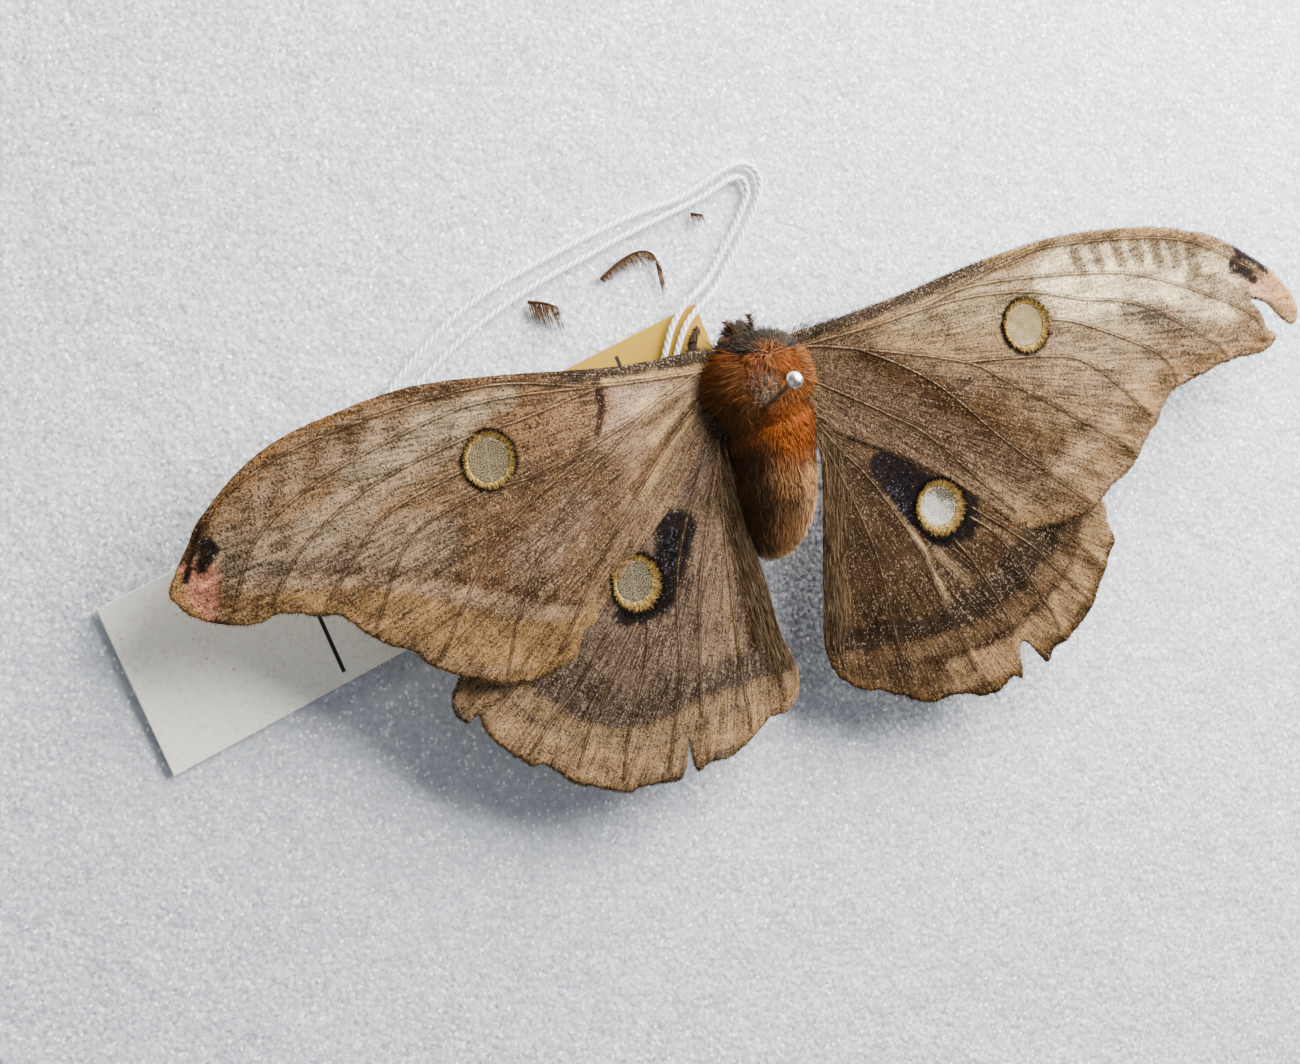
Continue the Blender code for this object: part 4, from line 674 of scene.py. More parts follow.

# Wings: thin membranes with raised veins, covered with powdery scales. Each wing's pattern is laid on
# as brush strokes in millimetres: a line or a dot, its half width at both ends, how soft its edge is,
# its colour, how strongly it covers, and how many pale and dark scales are dusted over it. The pale
# scales are partly painted glints.
wingShape = {
    "arch": 1.0, "halfSpan": 72.0, "droopFrom": 46.0, "droop": (1.2, 2.4), "hindDroop": 1.2,
    "spacing": 0.42, "membrane": 0.09, "veinRise": 0.06, "veinWidth": (0.42, 0.2),
    "pleat": 0.24, "wave": 0.28, "crinkle": 0.14, "tuck": 1.65, "tuckWidth": 10.0,
    "veinRadius": (0.15, 0.06), "veinTint": "#7d6145",
    "vivid": 1.28, "depth": 0.47,           # beside the strokes' tints
}
wings = {
    "forewing_left": {
        "level": 19.3, "eye": (-33.3, -1.3), "eyeRadius": 2.8, "window": 2.3, "slot": "forewing",
        "haze": 0.25, "windowShift": (0.0, 0.0),
        "outline": [
            (-3.0, 4.4), (-6.7, 5.7), (-13.9, 5.6), (-19.0, 5.8), (-32.7, 7.1), (-41.5, 7.3),
            (-50.4, 5.8), (-54.8, 4.6), (-59.3, 2.4), (-64.2, -1.8), (-65.8, -4.2), (-68.1, -7.9),
            (-67.6, -9.5), (-65.8, -11.3), (-60.8, -12.9), (-57.8, -12.3), (-53.9, -13.3),
            (-51.6, -13.8), (-48.6, -16.6), (-45.1, -18.5), (-43.3, -20.3), (-38.1, -23.0),
            (-32.1, -24.4), (-26.7, -23.2), (-23.5, -20.5), (-18.7, -15.1), (-13.0, -10.3),
            (-9.6, -6.7), (-7.0, -3.5), (-5.5, -1.2), (-3.0, -0.8)],
        "tuck": [(-5.5, -1.2), (-9.6, -6.7), (-18.7, -15.1), (-23.5, -20.5), (-28, -23.6)],
        "dish": 0.08,
        "root": (-3.0, 2.4), "lashes": ((-35, 110), (165, 285)),
        "margin": [(-68.1, -7.9), (-65.8, -11.3), (-60.8, -12.9), (-53.9, -13.3), (-48.6, -16.6),
                   (-43.3, -20.3), (-38.1, -23.0), (-32.1, -24.4), (-26.7, -23.2), (-23.5, -20.5)],
        "veins": [
            [(-4.5, 3.4), (-7.3, 3.5), (-19.3, 4.0), (-32.8, 6.1), (-50.7, 4.1), (-61.2, 0.2),
             (-65.0, -4.6)],
            [(-19.3, 4.0), (-32.0, 4.6), (-40.0, 3.4), (-51.5, -0.1), (-59.0, -4.7), (-62.4, -11.2)],
            [(-19.3, 4.0), (-29.0, 2.1), (-36.0, 1.2), (-47.0, -1.9), (-54.8, -6.7), (-58.7, -11.5)],
            [(-36.1, -1.8), (-44.2, -4.2), (-47.9, -6.8), (-53.2, -12.5)],
            [(-7.3, 3.5), (-17.8, -0.6), (-27.2, -3.6), (-34.7, -4.5), (-43.2, -7.6), (-48.3, -15.6)],
            [(-20.4, -1.5), (-30.7, -7.1), (-35.5, -11.1), (-42.1, -20.1)],
            [(-12.5, 1.6), (-22.8, -5.2), (-30.6, -13.6), (-35.0, -23.1)],
            [(-4.5, 1.2), (-7.2, 0.5), (-13.8, -5.0), (-22.1, -13.7), (-28.2, -22.4)]],
        "ground": ("#856c54", 0.34, 0.3),
        "strokes": [
            ([(-8, 3), (-20, 1)], (5, 5), 3, "#a38a74", 0.8, 0.5, 0.15),
            ([(-10, -3), (-18, -9)], (4, 5), 3, "#8d7460", 0.7, 0.4, 0.25),
            ([(-13, 2.0), (-18.6, 1.6)], (1.2, 2.6), 0.9, "#b89f8b", 0.8, 0.6, 0.1),
            ([(-22, 2), (-29, 1)], (3.5, 3.0), 2, "#86664f", 0.75, 0.2, 0.5),
            ([(-19.7, 4.4), (-19.6, 1.4), (-20.6, -0.8)], (0.5, 0.3), 0.35, "#3d2a26", 0.95, 0.1, 0.8),
            ([(-30, 4.6), (-39, 3.2), (-47, 0.6)], (1.0, 1.8), 1.2, "#b3a088", 0.8, 0.45, 0.1),
            ([(-36, 1.8), (-46, -1.6), (-53, -5)], (1.3, 1.8), 1.4, "#a9957f", 0.7, 0.45, 0.2),
            ([(-24, -6), (-34, -9), (-44, -9)], (5, 3), 4, "#614b39", 0.85, 0.3, 0.4),
            ([(-22, -9), (-27, -15), (-31, -17.5)], (3, 3), 2.5, "#604c3b", 0.85, 0.5, 0.35),
            ([(-24, -8), (-30, -12)], (2.2, 2.5), 2.5, "#7b6759", 0.5, 0.6, 0.2),
            # Pale and dark lines fanning from the root: painted highlights and painted shade on the folds of
            # the wing base.
            ([(-8.7, 2.4), (-15.3, 1.0)], (0.5, 0.9), 0.6, "#c4ab8a", 0.7, 0.8, 0.05),
            ([(-8.3, 1.1), (-13.8, -2.6)], (0.35, 0.6), 0.4, "#bfa37f", 0.8, 0.8, 0.05),
            ([(-7.4, -0.1), (-12.5, -4.5), (-15.6, -8.0)], (0.3, 0.5), 0.4, "#b89a76", 0.75, 0.7, 0.05),
            ([(-7.8, 0.4), (-13.4, -3.7), (-17.0, -7.4)], (0.3, 0.5), 0.4, "#5d4733", 0.7, 0.1, 0.5),
            ([(-8.6, 1.8), (-15.0, -0.8)], (0.3, 0.5), 0.4, "#6a523c", 0.6, 0.1, 0.5),
            ([(-41, -8.5), (-52, -7.5), (-61, -5.5)], (2.8, 2.4), 2.2, "#93826f", 0.65, 0.6, 0.2),
            ([(-50, -9.0), (-56, -8.0), (-62, -7.2)], (0.9, 0.8), 0.9, "#5f5348", 0.6, 0.2, 0.6),
            ([(-25.2, -19.3), (-30, -17.8), (-35, -15.6), (-40, -13.4), (-47, -11.6), (-54, -10.4),
              (-60, -9.2), (-63, -8.6)], (0.8, 0.6), 0.8, "#a88e78", 0.6, 0.4, 0.1),
            ([(-25.4, -17.4), (-30, -16.0), (-35, -13.8), (-41, -11.4), (-48, -9.8), (-55, -8.9)],
             (0.5, 0.4), 0.7, "#503d2f", 0.6, 0.2, 0.45),
            ([(-25.0, -21.3), (-30, -21.2), (-35, -19.8), (-40, -17.4), (-45, -14.8), (-50, -12.9),
              (-56, -12.2), (-62, -11.4)], (2.6, 1.7), 1.0, "#8d7052", 0.92, 0.25, 0.15),
            ([(-23.6, -20.4), (-29, -23.8), (-38, -23.0), (-44, -20.0), (-51, -14.5), (-60, -13),
              (-66, -11.5)], (0.4, 0.4), 0.6, "#7c6142", 0.6, 0.2, 0.2),
            ([(-4, 5.4), (-14, 5.9), (-24, 6.4)], (1.9, 1.4), 0.6, "#382f27", 0.95, 0.35, 0.6),
            ([(-24, 6.4), (-34, 7.1), (-44, 7.0)], (0.9, 0.7), 0.6, "#523d2b", 0.85, 0.25, 0.5),
            ([(-44, 6.9), (-54, 4.8), (-62, 0.0), (-66, -4.6)], (0.6, 0.8), 0.7, "#75573d", 0.8, 0.25, 0.4),
            ([(-6, 3.7), (-19, 4.3)], (0.4, 0.28), 0.35, "#bd9e7a", 0.8, 0.3, 0.05),
            ([(-42, 5.0), (-43.4, 2.6)], (0.9, 0.9), 0.7, "#786250", 0.65, 0.1, 0.5),
            ([(-46.6, 4.4), (-48, 1.8)], (0.8, 0.9), 0.7, "#786250", 0.65, 0.1, 0.5),
            ([(-51, 3.2), (-52.4, 0.6)], (0.8, 0.9), 0.7, "#786250", 0.65, 0.1, 0.5),
            ([(-55.2, 1.4), (-56.4, -1.2)], (0.8, 0.9), 0.7, "#786250", 0.65, 0.1, 0.5),
            ([(-59.2, -1.0), (-60.2, -3.6)], (0.7, 0.8), 0.7, "#786250", 0.6, 0.1, 0.5),
            ([(-44.9, 4.3), (-45.9, 2.2)], (0.7, 0.7), 0.8, "#a08975", 0.5, 0.4, 0.2),
            ([(-49.2, 3.3), (-50.4, 1.1)], (0.7, 0.7), 0.8, "#a08975", 0.5, 0.4, 0.2),
            ([(-53.3, 1.9), (-54.4, -0.4)], (0.7, 0.7), 0.8, "#a08975", 0.5, 0.4, 0.2),
            ([(-57.3, 0.0), (-58.4, -2.4)], (0.7, 0.7), 0.8, "#a08975", 0.5, 0.4, 0.2),
            ([(-65.2, -7.6), (-66.0, -9.6)], (2.0, 2.3), 0.9, "#c48b76", 0.95, 0.1, 0.03),
            ([(-67.2, -7.4), (-67.6, -9.6), (-66, -11.2)], (0.7, 0.8), 0.7, "#ac8860", 0.85, 0.2, 0.1),
            ([(-64.0, -2.6), (-65.6, -5.2), (-66.4, -7.4)], (0.4, 0.3), 0.25, "#110e0f", 0.99, 0.0, 0.9),
            ([(-63.9, -4.7), (-64.6, -6.3)], (1.1, 0.7), 0.35, "#141113", 0.99, 0.04, 0.9),
        ],
    },
    "forewing_right": {
        "level": 19.3, "eye": (33.5, 2.1), "eyeRadius": 2.8, "window": 2.35, "slot": "forewing",
        "haze": 0.95, "windowShift": (-0.05, 0.0),
        "outline": [
            (3.0, 4.6), (4.9, 5.8), (8.0, 6.2), (18.3, 7.8), (29.0, 9.9), (39.9, 11.1), (51.0, 10.5),
            (56.9, 9.4), (62.2, 7.8), (67.5, 5.0), (72.2, 1.7), (74.4, -2.0), (72.9, -3.7),
            (69.1, -0.6), (66.4, 0.1), (67.8, -1.4), (68.6, -3.5), (70.1, -4.8), (67.5, -5.9),
            (60.3, -6.4), (55.0, -7.6), (52.3, -8.2), (49.3, -11.3), (47.6, -12.7), (44.8, -16.0),
            (42.2, -17.1), (39.9, -18.7), (37.5, -19.9), (31.8, -20.4), (28.9, -19.2), (24.9, -15.6),
            (19.4, -11.5), (12.7, -7.7), (9.5, -6.1), (7.3, -4.1), (5.3, -1.5), (3.0, -0.8)],
        "tuck": [(5.3, -1.5), (9.5, -6.1), (19.4, -11.5), (24.9, -15.6), (30, -20)],
        "dish": 0.08,
        "root": (3.0, 2.4), "lashes": ((95, 345),),
        "margin": [(70.1, -4.8), (67.5, -5.9), (60.3, -6.4), (52.3, -8.2), (47.6, -12.7),
                   (44.8, -16.0), (37.5, -19.9), (31.4, -20.4), (28.6, -19.5)],
        "veins": [
            [(3.8, 4.0), (5.8, 4.3), (18.5, 5.6), (31.4, 9.0), (39.7, 10.1), (56.6, 8.3), (69.1, 2.6)],
            [(21.1, 6.1), (27.8, 7.4), (41.8, 6.6), (51.4, 4.8), (64.5, -0.6), (67.7, -3.4)],
            [(18.5, 5.6), (26.0, 6.2), (34.0, 5.7), (41.3, 3.8), (49.4, 1.9), (60.1, -4.3),
             (61.1, -5.7)],
            [(37.0, 2.2), (41.6, 0.8), (51.1, -4.0), (52.9, -7.2)],
            [(25.0, -0.7), (35.5, -1.7), (41.3, -3.6), (48.4, -10.5)],
            [(3.8, 2.6), (5.8, 4.1), (12.3, 2.8), (25.0, -0.7), (30.4, -3.9), (41.9, -11.5),
             (45.2, -14.1)],
            [(12.3, 2.8), (20.3, -1.9), (29.2, -10.3), (38.5, -18.7)],
            [(4.0, 1.2), (6.0, 0.7), (14.8, -4.5), (20.4, -8.5), (29.4, -18.0)]],
        "ground": ("#86705a", 0.34, 0.3),
        "strokes": [
            ([(6, 2), (16, 0.5)], (4, 4), 3, "#6f5a48", 0.85, 0.4, 0.4),
            ([(9, -3), (22, -8)], (4, 4), 3, "#5f4d3f", 0.85, 0.45, 0.4),
            # Pale cream between root and eyespot: partly the wing's own colour, partly painted sheen where
            # this wing catches more light.
            ([(18, 4.4), (30, 4), (44, 3)], (1.6, 6), 2.5, "#ab977b", 0.85, 0.4, 0.12),
            ([(15, 3.2), (29, 0.6)], (0.9, 2.0), 1.2, "#8e765c", 0.8, 0.4, 0.2),
            # Pale cream towards the tip: partly the wing's own colour, partly painted sheen where this wing
            # catches more light.
            ([(40, 6), (54, 4.6), (62, 1.6)], (4, 3), 2.5, "#fbeac6", 0.9, 0.7, 0.1),
            ([(36, -2), (46, -4)], (3, 4), 2.5, "#917c66", 0.75, 0.65, 0.3),
            ([(20, -4), (27, -5.5), (33, -7)], (3.4, 3), 2.5, "#5b493b", 0.9, 0.45, 0.4),
            ([(13, 1.9), (20, -2.2), (28, -9.6), (36.5, -17)], (1.0, 1.3), 1.2, "#4c3828", 0.85, 0.1,
             0.5),
            ([(27, -5.5), (35, -11)], (1.6, 1.8), 1.6, "#584431", 0.8, 0.15, 0.5),
            ([(22, -8.5), (33, -15)], (2.4, 1.8), 1.6, "#5d4a3c", 0.85, 0.5, 0.35),
            ([(32, -6), (41, -9.5)], (2.0, 2.0), 1.8, "#79654f", 0.8, 0.5, 0.3),
            ([(30.5, -17.6), (36, -14.6), (41, -11.8), (46, -8.2), (50, -5.6)], (1.0, 1.4), 1.0,
             "#a58d72", 0.65, 0.6, 0.15),
            ([(30.5, -19.0), (37, -17.2), (42, -14.2)], (1.3, 1.5), 1.0, "#8a7158", 0.9, 0.3, 0.15),
            ([(43, -13.6), (48, -9.4), (52.5, -6.8)], (1.5, 1.7), 1.6, "#8a7056", 0.85, 0.3, 0.1),
            ([(29, -19.7), (37.5, -19.9), (44.8, -16), (49.3, -11.3), (55, -7.6)], (0.4, 0.4), 0.6,
             "#7b5f40", 0.6, 0.2, 0.2),
            ([(54, -6.6), (61, -5.2), (68, -4.6)], (0.9, 0.9), 0.8, "#7d6249", 0.8, 0.4, 0.4),
            ([(3, 5.2), (12, 6.6), (22, 8.5), (30, 9.9)], (1.6, 1.0), 0.6, "#362e26", 0.95, 0.3, 0.6),
            ([(30, 9.8), (40, 10.8), (52, 10.1), (62, 7.6)], (0.6, 0.8), 0.8, "#8c7253", 0.8, 0.35,
             0.35),
            ([(6, 4.3), (18.5, 5.9)], (0.35, 0.25), 0.35, "#a08262", 0.6, 0.2, 0.1),
            ([(21, 5.6), (24, 3.6), (23, 1.6)], (0.25, 0.2), 0.3, "#6b5340", 0.6, 0.1, 0.5),
            ([(41.4, 8.9), (41.9, 6.9)], (0.7, 0.7), 0.6, "#75604b", 0.8, 0.2, 0.6),
            ([(44.2, 9.2), (44.8, 7.0)], (0.7, 0.7), 0.6, "#6d5844", 0.8, 0.2, 0.6),
            ([(47.0, 9.2), (47.6, 7.0)], (0.7, 0.7), 0.6, "#75604b", 0.8, 0.2, 0.6),
            ([(49.8, 9.1), (50.4, 6.8)], (0.7, 0.7), 0.6, "#6d5844", 0.8, 0.2, 0.6),
            ([(52.6, 8.8), (53.0, 6.4)], (0.7, 0.7), 0.6, "#75604b", 0.8, 0.2, 0.6),
            ([(55.2, 8.2), (55.6, 6.0)], (0.7, 0.7), 0.6, "#75604b", 0.75, 0.2, 0.6),
            ([(57.8, 7.2), (58.2, 4.8)], (0.8, 0.8), 0.6, "#75604b", 0.7, 0.2, 0.6),
            ([(48, 1.6), (53, 0.2), (56, -1.4)], (1.5, 1.5), 1.3, "#6f6357", 0.8, 0.5, 0.7),
            ([(58, 3.6), (63, 1.4), (66, -0.8)], (1.4, 1.4), 1.1, "#7b6753", 0.8, 0.35, 0.7),
            ([(56, -3.2), (62, -3.4), (66, -3.6)], (1.4, 1.2), 1.1, "#84705c", 0.7, 0.4, 0.5),
            ([(61.5, 5.4), (66, 3.4)], (1.3, 1.3), 0.8, "#cdb99d", 0.8, 0.6, 0.2),
            ([(70.5, 2.0), (72.6, -0.4), (73.4, -2.4)], (1.6, 1.4), 0.7, "#b59070", 0.92, 0.4, 0.1),
            ([(67.2, 1.6), (69.2, 0.6)], (0.9, 0.9), 0.7, "#c7a28c", 0.85, 0.4, 0.05),
            ([(65.6, 6.0), (68.4, 4.4), (70.0, 2.8)], (0.7, 0.3), 0.35, "#191517", 0.97, 0.0, 0.9),
            ([(64.8, 4.4), (66.4, 3.4), (67.6, 2.2)], (1.1, 0.6), 0.4, "#1b181b", 0.97, 0.05, 0.9),
        ],
    },
    "hindwing_left": {
        "level": 17.5, "eye": (-17.9, -17.0), "eyeRadius": 2.85, "window": 2.15, "slot": "hindwing",
        "haze": 0.1, "windowShift": (-0.3, 0.3),
        "outline": [
            (-2.6, -3.5), (-4.3, -4.7), (-3.9, -12.3), (-2.7, -17.9), (-1.4, -25.2), (-0.1, -28.2),
            (0.4, -31.1), (-0.3, -33.1), (-1.7, -34.2), (-3.6, -34.4), (-7.7, -36.8), (-9.6, -37.5),
            (-11.8, -37.5), (-13.5, -38.0), (-14.2, -34.3), (-14.9, -37.8), (-16.2, -38.5),
            (-20.6, -38.1), (-21.8, -38.6), (-25.3, -37.0), (-28.3, -35.9), (-31.3, -33.3),
            (-33.0, -33.0), (-35.8, -30.6), (-37.7, -28.1), (-38.1, -26.7), (-39.3, -27.4),
            (-40.4, -26.2), (-40.4, -24.3), (-38.8, -21.3), (-36.6, -18.7), (-31.2, -14.0),
            (-23.1, -8.3), (-15.0, -3.4), (-7.9, 0.2), (-3.0, 0.4)],
        "dish": 0.12,
        "root": (-3.6, -2.6), "lashes": ((0, 360),), "clear": (1.05, 2.6),
        "margin": [(0.4, -31.1), (-3.6, -34.4), (-9.6, -37.5), (-16.2, -38.5), (-21.8, -38.6),
                   (-28.3, -35.9), (-33.0, -33.0), (-37.7, -28.1), (-40.4, -24.3), (-36.6, -18.7)],
        "veins": [
            [(-3.8, -3.4), (-4.7, -5.2), (-3.8, -16.6), (-3.2, -23.2), (-1.8, -32.8)],
            [(-4.4, -3.2), (-5.6, -5.0), (-6.9, -18.7), (-6.9, -25.2), (-6.5, -35.1)],
            [(-5.6, -5.0), (-10.4, -18.0), (-11.5, -24.3), (-12.5, -32.4)],
            [(-7.1, -4.7), (-12.6, -15.6), (-14.6, -27.9), (-17.0, -37.3)],
            [(-17.3, -21.0), (-18.3, -25.1), (-21.3, -32.4), (-22.4, -37.0)],
            [(-18.6, -21.0), (-21.9, -25.3), (-25.3, -29.9), (-27.6, -34.7)],
            [(-21.0, -20.0), (-26.8, -26.4), (-30.4, -29.3), (-32.9, -32.0)],
            [(-6.0, -2.0), (-17.0, -9.0), (-28.1, -19.0), (-34.5, -25.2), (-37.5, -25.8)]],
        "ground": ("#645549", 0.42, 0.38),
        "strokes": [
            ([(-3, -5), (-4, -14), (-2.5, -25)], (2, 2.5), 1.5, "#725940", 0.8, 0.3, 0.3),
            ([(-5.2, -8), (-5.6, -18), (-4.6, -28)], (0.4, 0.6), 0.5, "#3f3124", 0.7, 0.1, 0.6),
            ([(-6.4, -9), (-7.4, -20), (-7.2, -27)], (0.5, 0.7), 0.6, "#a48a6b", 0.6, 0.7, 0.1),
            ([(-7, -8), (-9, -18), (-10, -26)], (1.8, 2.2), 1.4, "#7c6655", 0.7, 0.75, 0.3),
            ([(-14, -8), (-18, -13)], (3, 2.5), 2, "#8a7461", 0.6, 0.4, 0.3),
            ([(-16, -24), (-22, -26)], (3, 3), 2, "#66564a", 0.7, 0.6, 0.5),
            ([(-12.6, -12.6), (-13.0, -14.2), (-13.9, -17.0), (-15.2, -19.4)], (2.5, 1.2), 1.2,
             "#0f0d12", 0.98, 0.1, 0.9),
            ([(-13.4, -13.6), (-14.2, -17.4)], (1.2, 0.6), 0.7, "#110f13", 0.7, 0.35, 0.6),
            ([(-14.9, -19.8), (-17.8, -20.7), (-20.8, -20.0)], (0.7, 0.7), 0.4, "#0f0d11", 0.97, 0.1,
             0.9),
            ([(0.2, -27.4), (-4, -28.4), (-10, -28.6), (-15, -29.8), (-20, -30.3), (-25, -28.8),
              (-29.5, -25.4), (-33, -21)], (1.5, 1.9), 1.3, "#51453c", 0.92, 0.5, 0.7),
            ([(0.6, -30.2), (-4, -31.2), (-10, -31.4), (-15.5, -32.8), (-21, -33.1), (-26.5, -31.2),
              (-31.5, -27.4), (-35.5, -22)], (1.0, 1.1), 0.9, "#a88b6c", 0.6, 0.4, 0.15),
            ([(0, -32.6), (-5, -34), (-11, -35), (-16.5, -36), (-22, -36.2), (-28, -33.8), (-33.5, -30),
              (-38.4, -24.6)], (1.6, 1.9), 1.0, "#a5886b", 0.92, 0.35, 0.1),
            ([(0.4, -31.1), (-3.6, -34.6), (-9.6, -37.4), (-16.2, -38.4), (-22, -38.4), (-28.3, -35.9),
              (-33.5, -32.6), (-38.6, -27.4)], (0.4, 0.5), 0.7, "#82674a", 0.6, 0.2, 0.15),
        ],
    },
    "hindwing_right": {
        "level": 17.5, "eye": (20.2, -15.9), "eyeRadius": 3.0, "window": 2.2, "slot": "hindwing",
        "haze": 0.0, "windowShift": (-0.2, 0.2),
        "outline": [
            (3.0, -4.0), (5.6, -5.0), (6.7, -6.1), (6.3, -10.3), (5.6, -14.6), (4.4, -23.1),
            (3.9, -27.4), (4.2, -29.9), (5.6, -32.2), (7.8, -33.6), (10.6, -34.4), (16.1, -36.8),
            (20.0, -36.7), (22.8, -37.5), (25.2, -37.4), (27.1, -36.2), (28.5, -36.5), (28.5, -32.9),
            (29.7, -32.9), (31.8, -35.6), (33.1, -34.1), (35.1, -33.3), (38.3, -30.6), (39.6, -28.8),
            (41.2, -26.0), (42.7, -23.7), (41.9, -21.5), (41.5, -18.9), (37.9, -13.9), (29.5, -8.3),
            (19.9, -3.7), (11.8, -0.9), (3.0, 0.2)],
        "dish": 0.42, "glare": 9.0,
        "root": (4.4, -2.6), "lashes": ((0, 360),), "clear": (-0.71, 1.3),
        "margin": [(4.2, -29.9), (7.8, -33.6), (16.1, -36.8), (22.8, -37.5), (28.5, -36.5),
                   (33.1, -34.1), (38.3, -30.6), (42.7, -23.7), (41.5, -18.9)],
        "veins": [
            [(4.4, -3.6), (6.8, -7.7), (6.3, -14.7), (5.4, -26.6), (5.9, -31.1)],
            [(5.0, -3.4), (7.4, -7.3), (11.0, -17.8), (12.3, -26.8), (13.5, -34.3)],
            [(6.0, -3.2), (8.5, -6.9), (12.1, -11.4), (16.9, -20.2), (18.7, -25.3), (22.2, -34.4)],
            [(21.3, -19.6), (23.4, -22.6), (26.7, -28.6), (27.5, -31.6)],
            [(23.8, -17.6), (27.3, -20.8), (32.7, -29.7), (33.6, -32.2)],
            [(24.2, -16.6), (31.1, -22.1), (34.8, -26.2), (38.0, -29.6)],
            [(6.0, -1.8), (17.0, -6.8), (29.0, -15.6), (36.4, -22.1), (40.1, -26.0)]],
        "ground": ("#3f3023", 0.3, 0.35),
        "strokes": [
            ([(6.5, -9), (6, -18), (5, -26)], (1.6, 1.8), 1.3, "#7d644a", 0.8, 0.4, 0.2),
            ([(9, -12), (11, -22)], (2.2, 2.8), 1.8, "#403124", 0.85, 0.2, 0.4),
            ([(9, -7), (14, -6)], (2.5, 2.5), 2, "#574434", 0.7, 0.35, 0.35),
            ([(18, -22), (22, -27)], (2.6, 2.6), 1.8, "#47382a", 0.75, 0.5, 0.4),
            ([(26, -17), (32, -19)], (3, 3), 2, "#56432f", 0.75, 0.4, 0.35),
            ([(13.6, -13.6), (17.2, -19.6), (19.8, -26.6)], (0.3, 0.25), 0.3, "#b39b7a", 0.7, 0.7, 0.0),
            ([(19.2, -20.6), (23.4, -25.6)], (0.5, 0.4), 0.6, "#8a745a", 0.6, 0.9, 0.1),
            ([(14.0, -10.4), (16.4, -12.8), (18.4, -15.2)], (1.7, 3.0), 0.6, "#0f0d12", 0.98, 0.04, 0.9),
            ([(20.2, -15.9), (21.3, -16.6)], (3.5, 3.8), 0.7, "#100e11", 0.97, 0.04, 0.9),
            ([(14.9, -13.2), (16.6, -16.6)], (1.2, 1.0), 0.8, "#110f13", 0.7, 0.35, 0.6),
            ([(4.2, -27.6), (9, -28.4), (14, -28.2), (20, -28.6)], (1.2, 1.1), 1.0, "#30271f", 0.92, 0.2,
             0.8),
            ([(21, -27.6), (27, -25.6), (31.5, -22.6), (35, -19)], (1.7, 2.4), 1.3, "#30271f", 0.93, 0.4,
             0.85),
            ([(4.6, -30.2), (10, -30.8), (17, -31.0), (24, -30.4), (30, -27.8), (35, -24.6), (38.5, -20)],
             (0.9, 1.4), 0.9, "#6f5843", 0.6, 0.35, 0.25),
            ([(6, -32), (12, -33.6), (20, -34.6)], (1.5, 1.8), 1.1, "#524030", 0.92, 0.25, 0.25),
            ([(20, -34.6), (27, -33.6), (33, -31), (38, -26.5), (41, -21)],
             (1.8, 2.0), 1.1, "#9c8063", 0.92, 0.35, 0.12),
            ([(4.6, -31), (9, -34), (16.1, -36.6), (24, -37.2), (30, -34.5), (36, -32.2), (41, -26)],
             (0.4, 0.5), 0.8, "#6d5439", 0.6, 0.2, 0.2),
        ],
    },
}


def wingRise(x, y):
    # A spread wing arches, and its tip and hind edge droop. This is the solids' own surface.
    shape = wingShape
    rise = shape["arch"] * np.sin(math.pi * np.minimum(np.abs(x), shape["halfSpan"]) / shape["halfSpan"])
    droop = np.where(x > 0, shape["droop"][1], shape["droop"][0])
    rise -= droop * np.maximum(0.0, (np.abs(x) - shape["droopFrom"]) / 25) ** 2
    return rise - shape["hindDroop"] * np.maximum(0.0, (-14 - y) / 20) ** 2


def nearMargin(wing, points):
    # 1 on the wing's scalloped margin, and 0 on its straight edges.
    away, _ = pathGap(points[:, 0], points[:, 1], wing["margin"])
    return softStep(away, 4.5, 1.5)


def ragged(wing, rim, seed):
    # A worn edge: the margin wanders by a tenth of a millimetre, with a deeper nick here and there.
    following, before = np.roll(rim, -1, axis=0), np.roll(rim, 1, axis=0)
    side = sideways(following - before)
    spots = onPlane(rim)
    push = 0.14 * lumps(spots, 0.8, seed) + 0.2 * lumps(spots, 2.4, seed + 3)
    push -= 0.5 * np.clip(lumps(spots, 1.3, seed + 7) - 0.42, 0, 1) * 2
    return rim + side * (push * (0.2 + 0.8 * nearMargin(wing, rim)))[:, None]


def paintWing(wing, points, seed):
    # Lays the strokes over the ground colour. Their edges are frayed by noise, as scales fray them.
    x, y = points[:, 0], points[:, 1]
    spots = np.column_stack([x, y, np.zeros(len(x))])
    fray = 0.45 * lumps(spots, 0.9, seed) + 0.55 * lumps(spots, 3.0, seed + 5)
    ground, dust, soot = wing["ground"]
    colour = np.tile(linear(ground), (len(x), 1))
    dust, soot = np.full(len(x), dust), np.full(len(x), soot)
    for path, widths, soft, tint, cover, pale, dark in wing["strokes"]:
        away, share = pathGap(x, y, path)
        half = widths[0] + (widths[1] - widths[0]) * share
        strength = cover * softStep(away + fray * min(1.0, soft), half + soft * 0.6, half - soft * 0.4)
        colour += (linear(tint) - colour) * strength[:, None]
        dust += (pale - dust) * strength
        soot += (dark - soot) * strength
    grey = colour.mean(1)[:, None]
    colour = np.maximum(0.004, grey + (colour - grey) * wingShape["vivid"]) * wingShape["depth"]
    return colour, dust * 0.32, soot * 0.6


def veinGaps(wing, x, y):
    # Distance from the nearest vein, in that vein's half widths there, and in millimetres.
    narrow, plain = np.full(len(x), 1e9), np.full(len(x), 1e9)
    for vein in wing["veins"]:
        away, share = pathGap(x, y, curvePoints(vein, 1.5))
        half = wingShape["veinWidth"][0] + (wingShape["veinWidth"][1] - wingShape["veinWidth"][0]) * share
        narrow = np.minimum(narrow, away / half)
        plain = np.minimum(plain, away)
    return narrow, plain


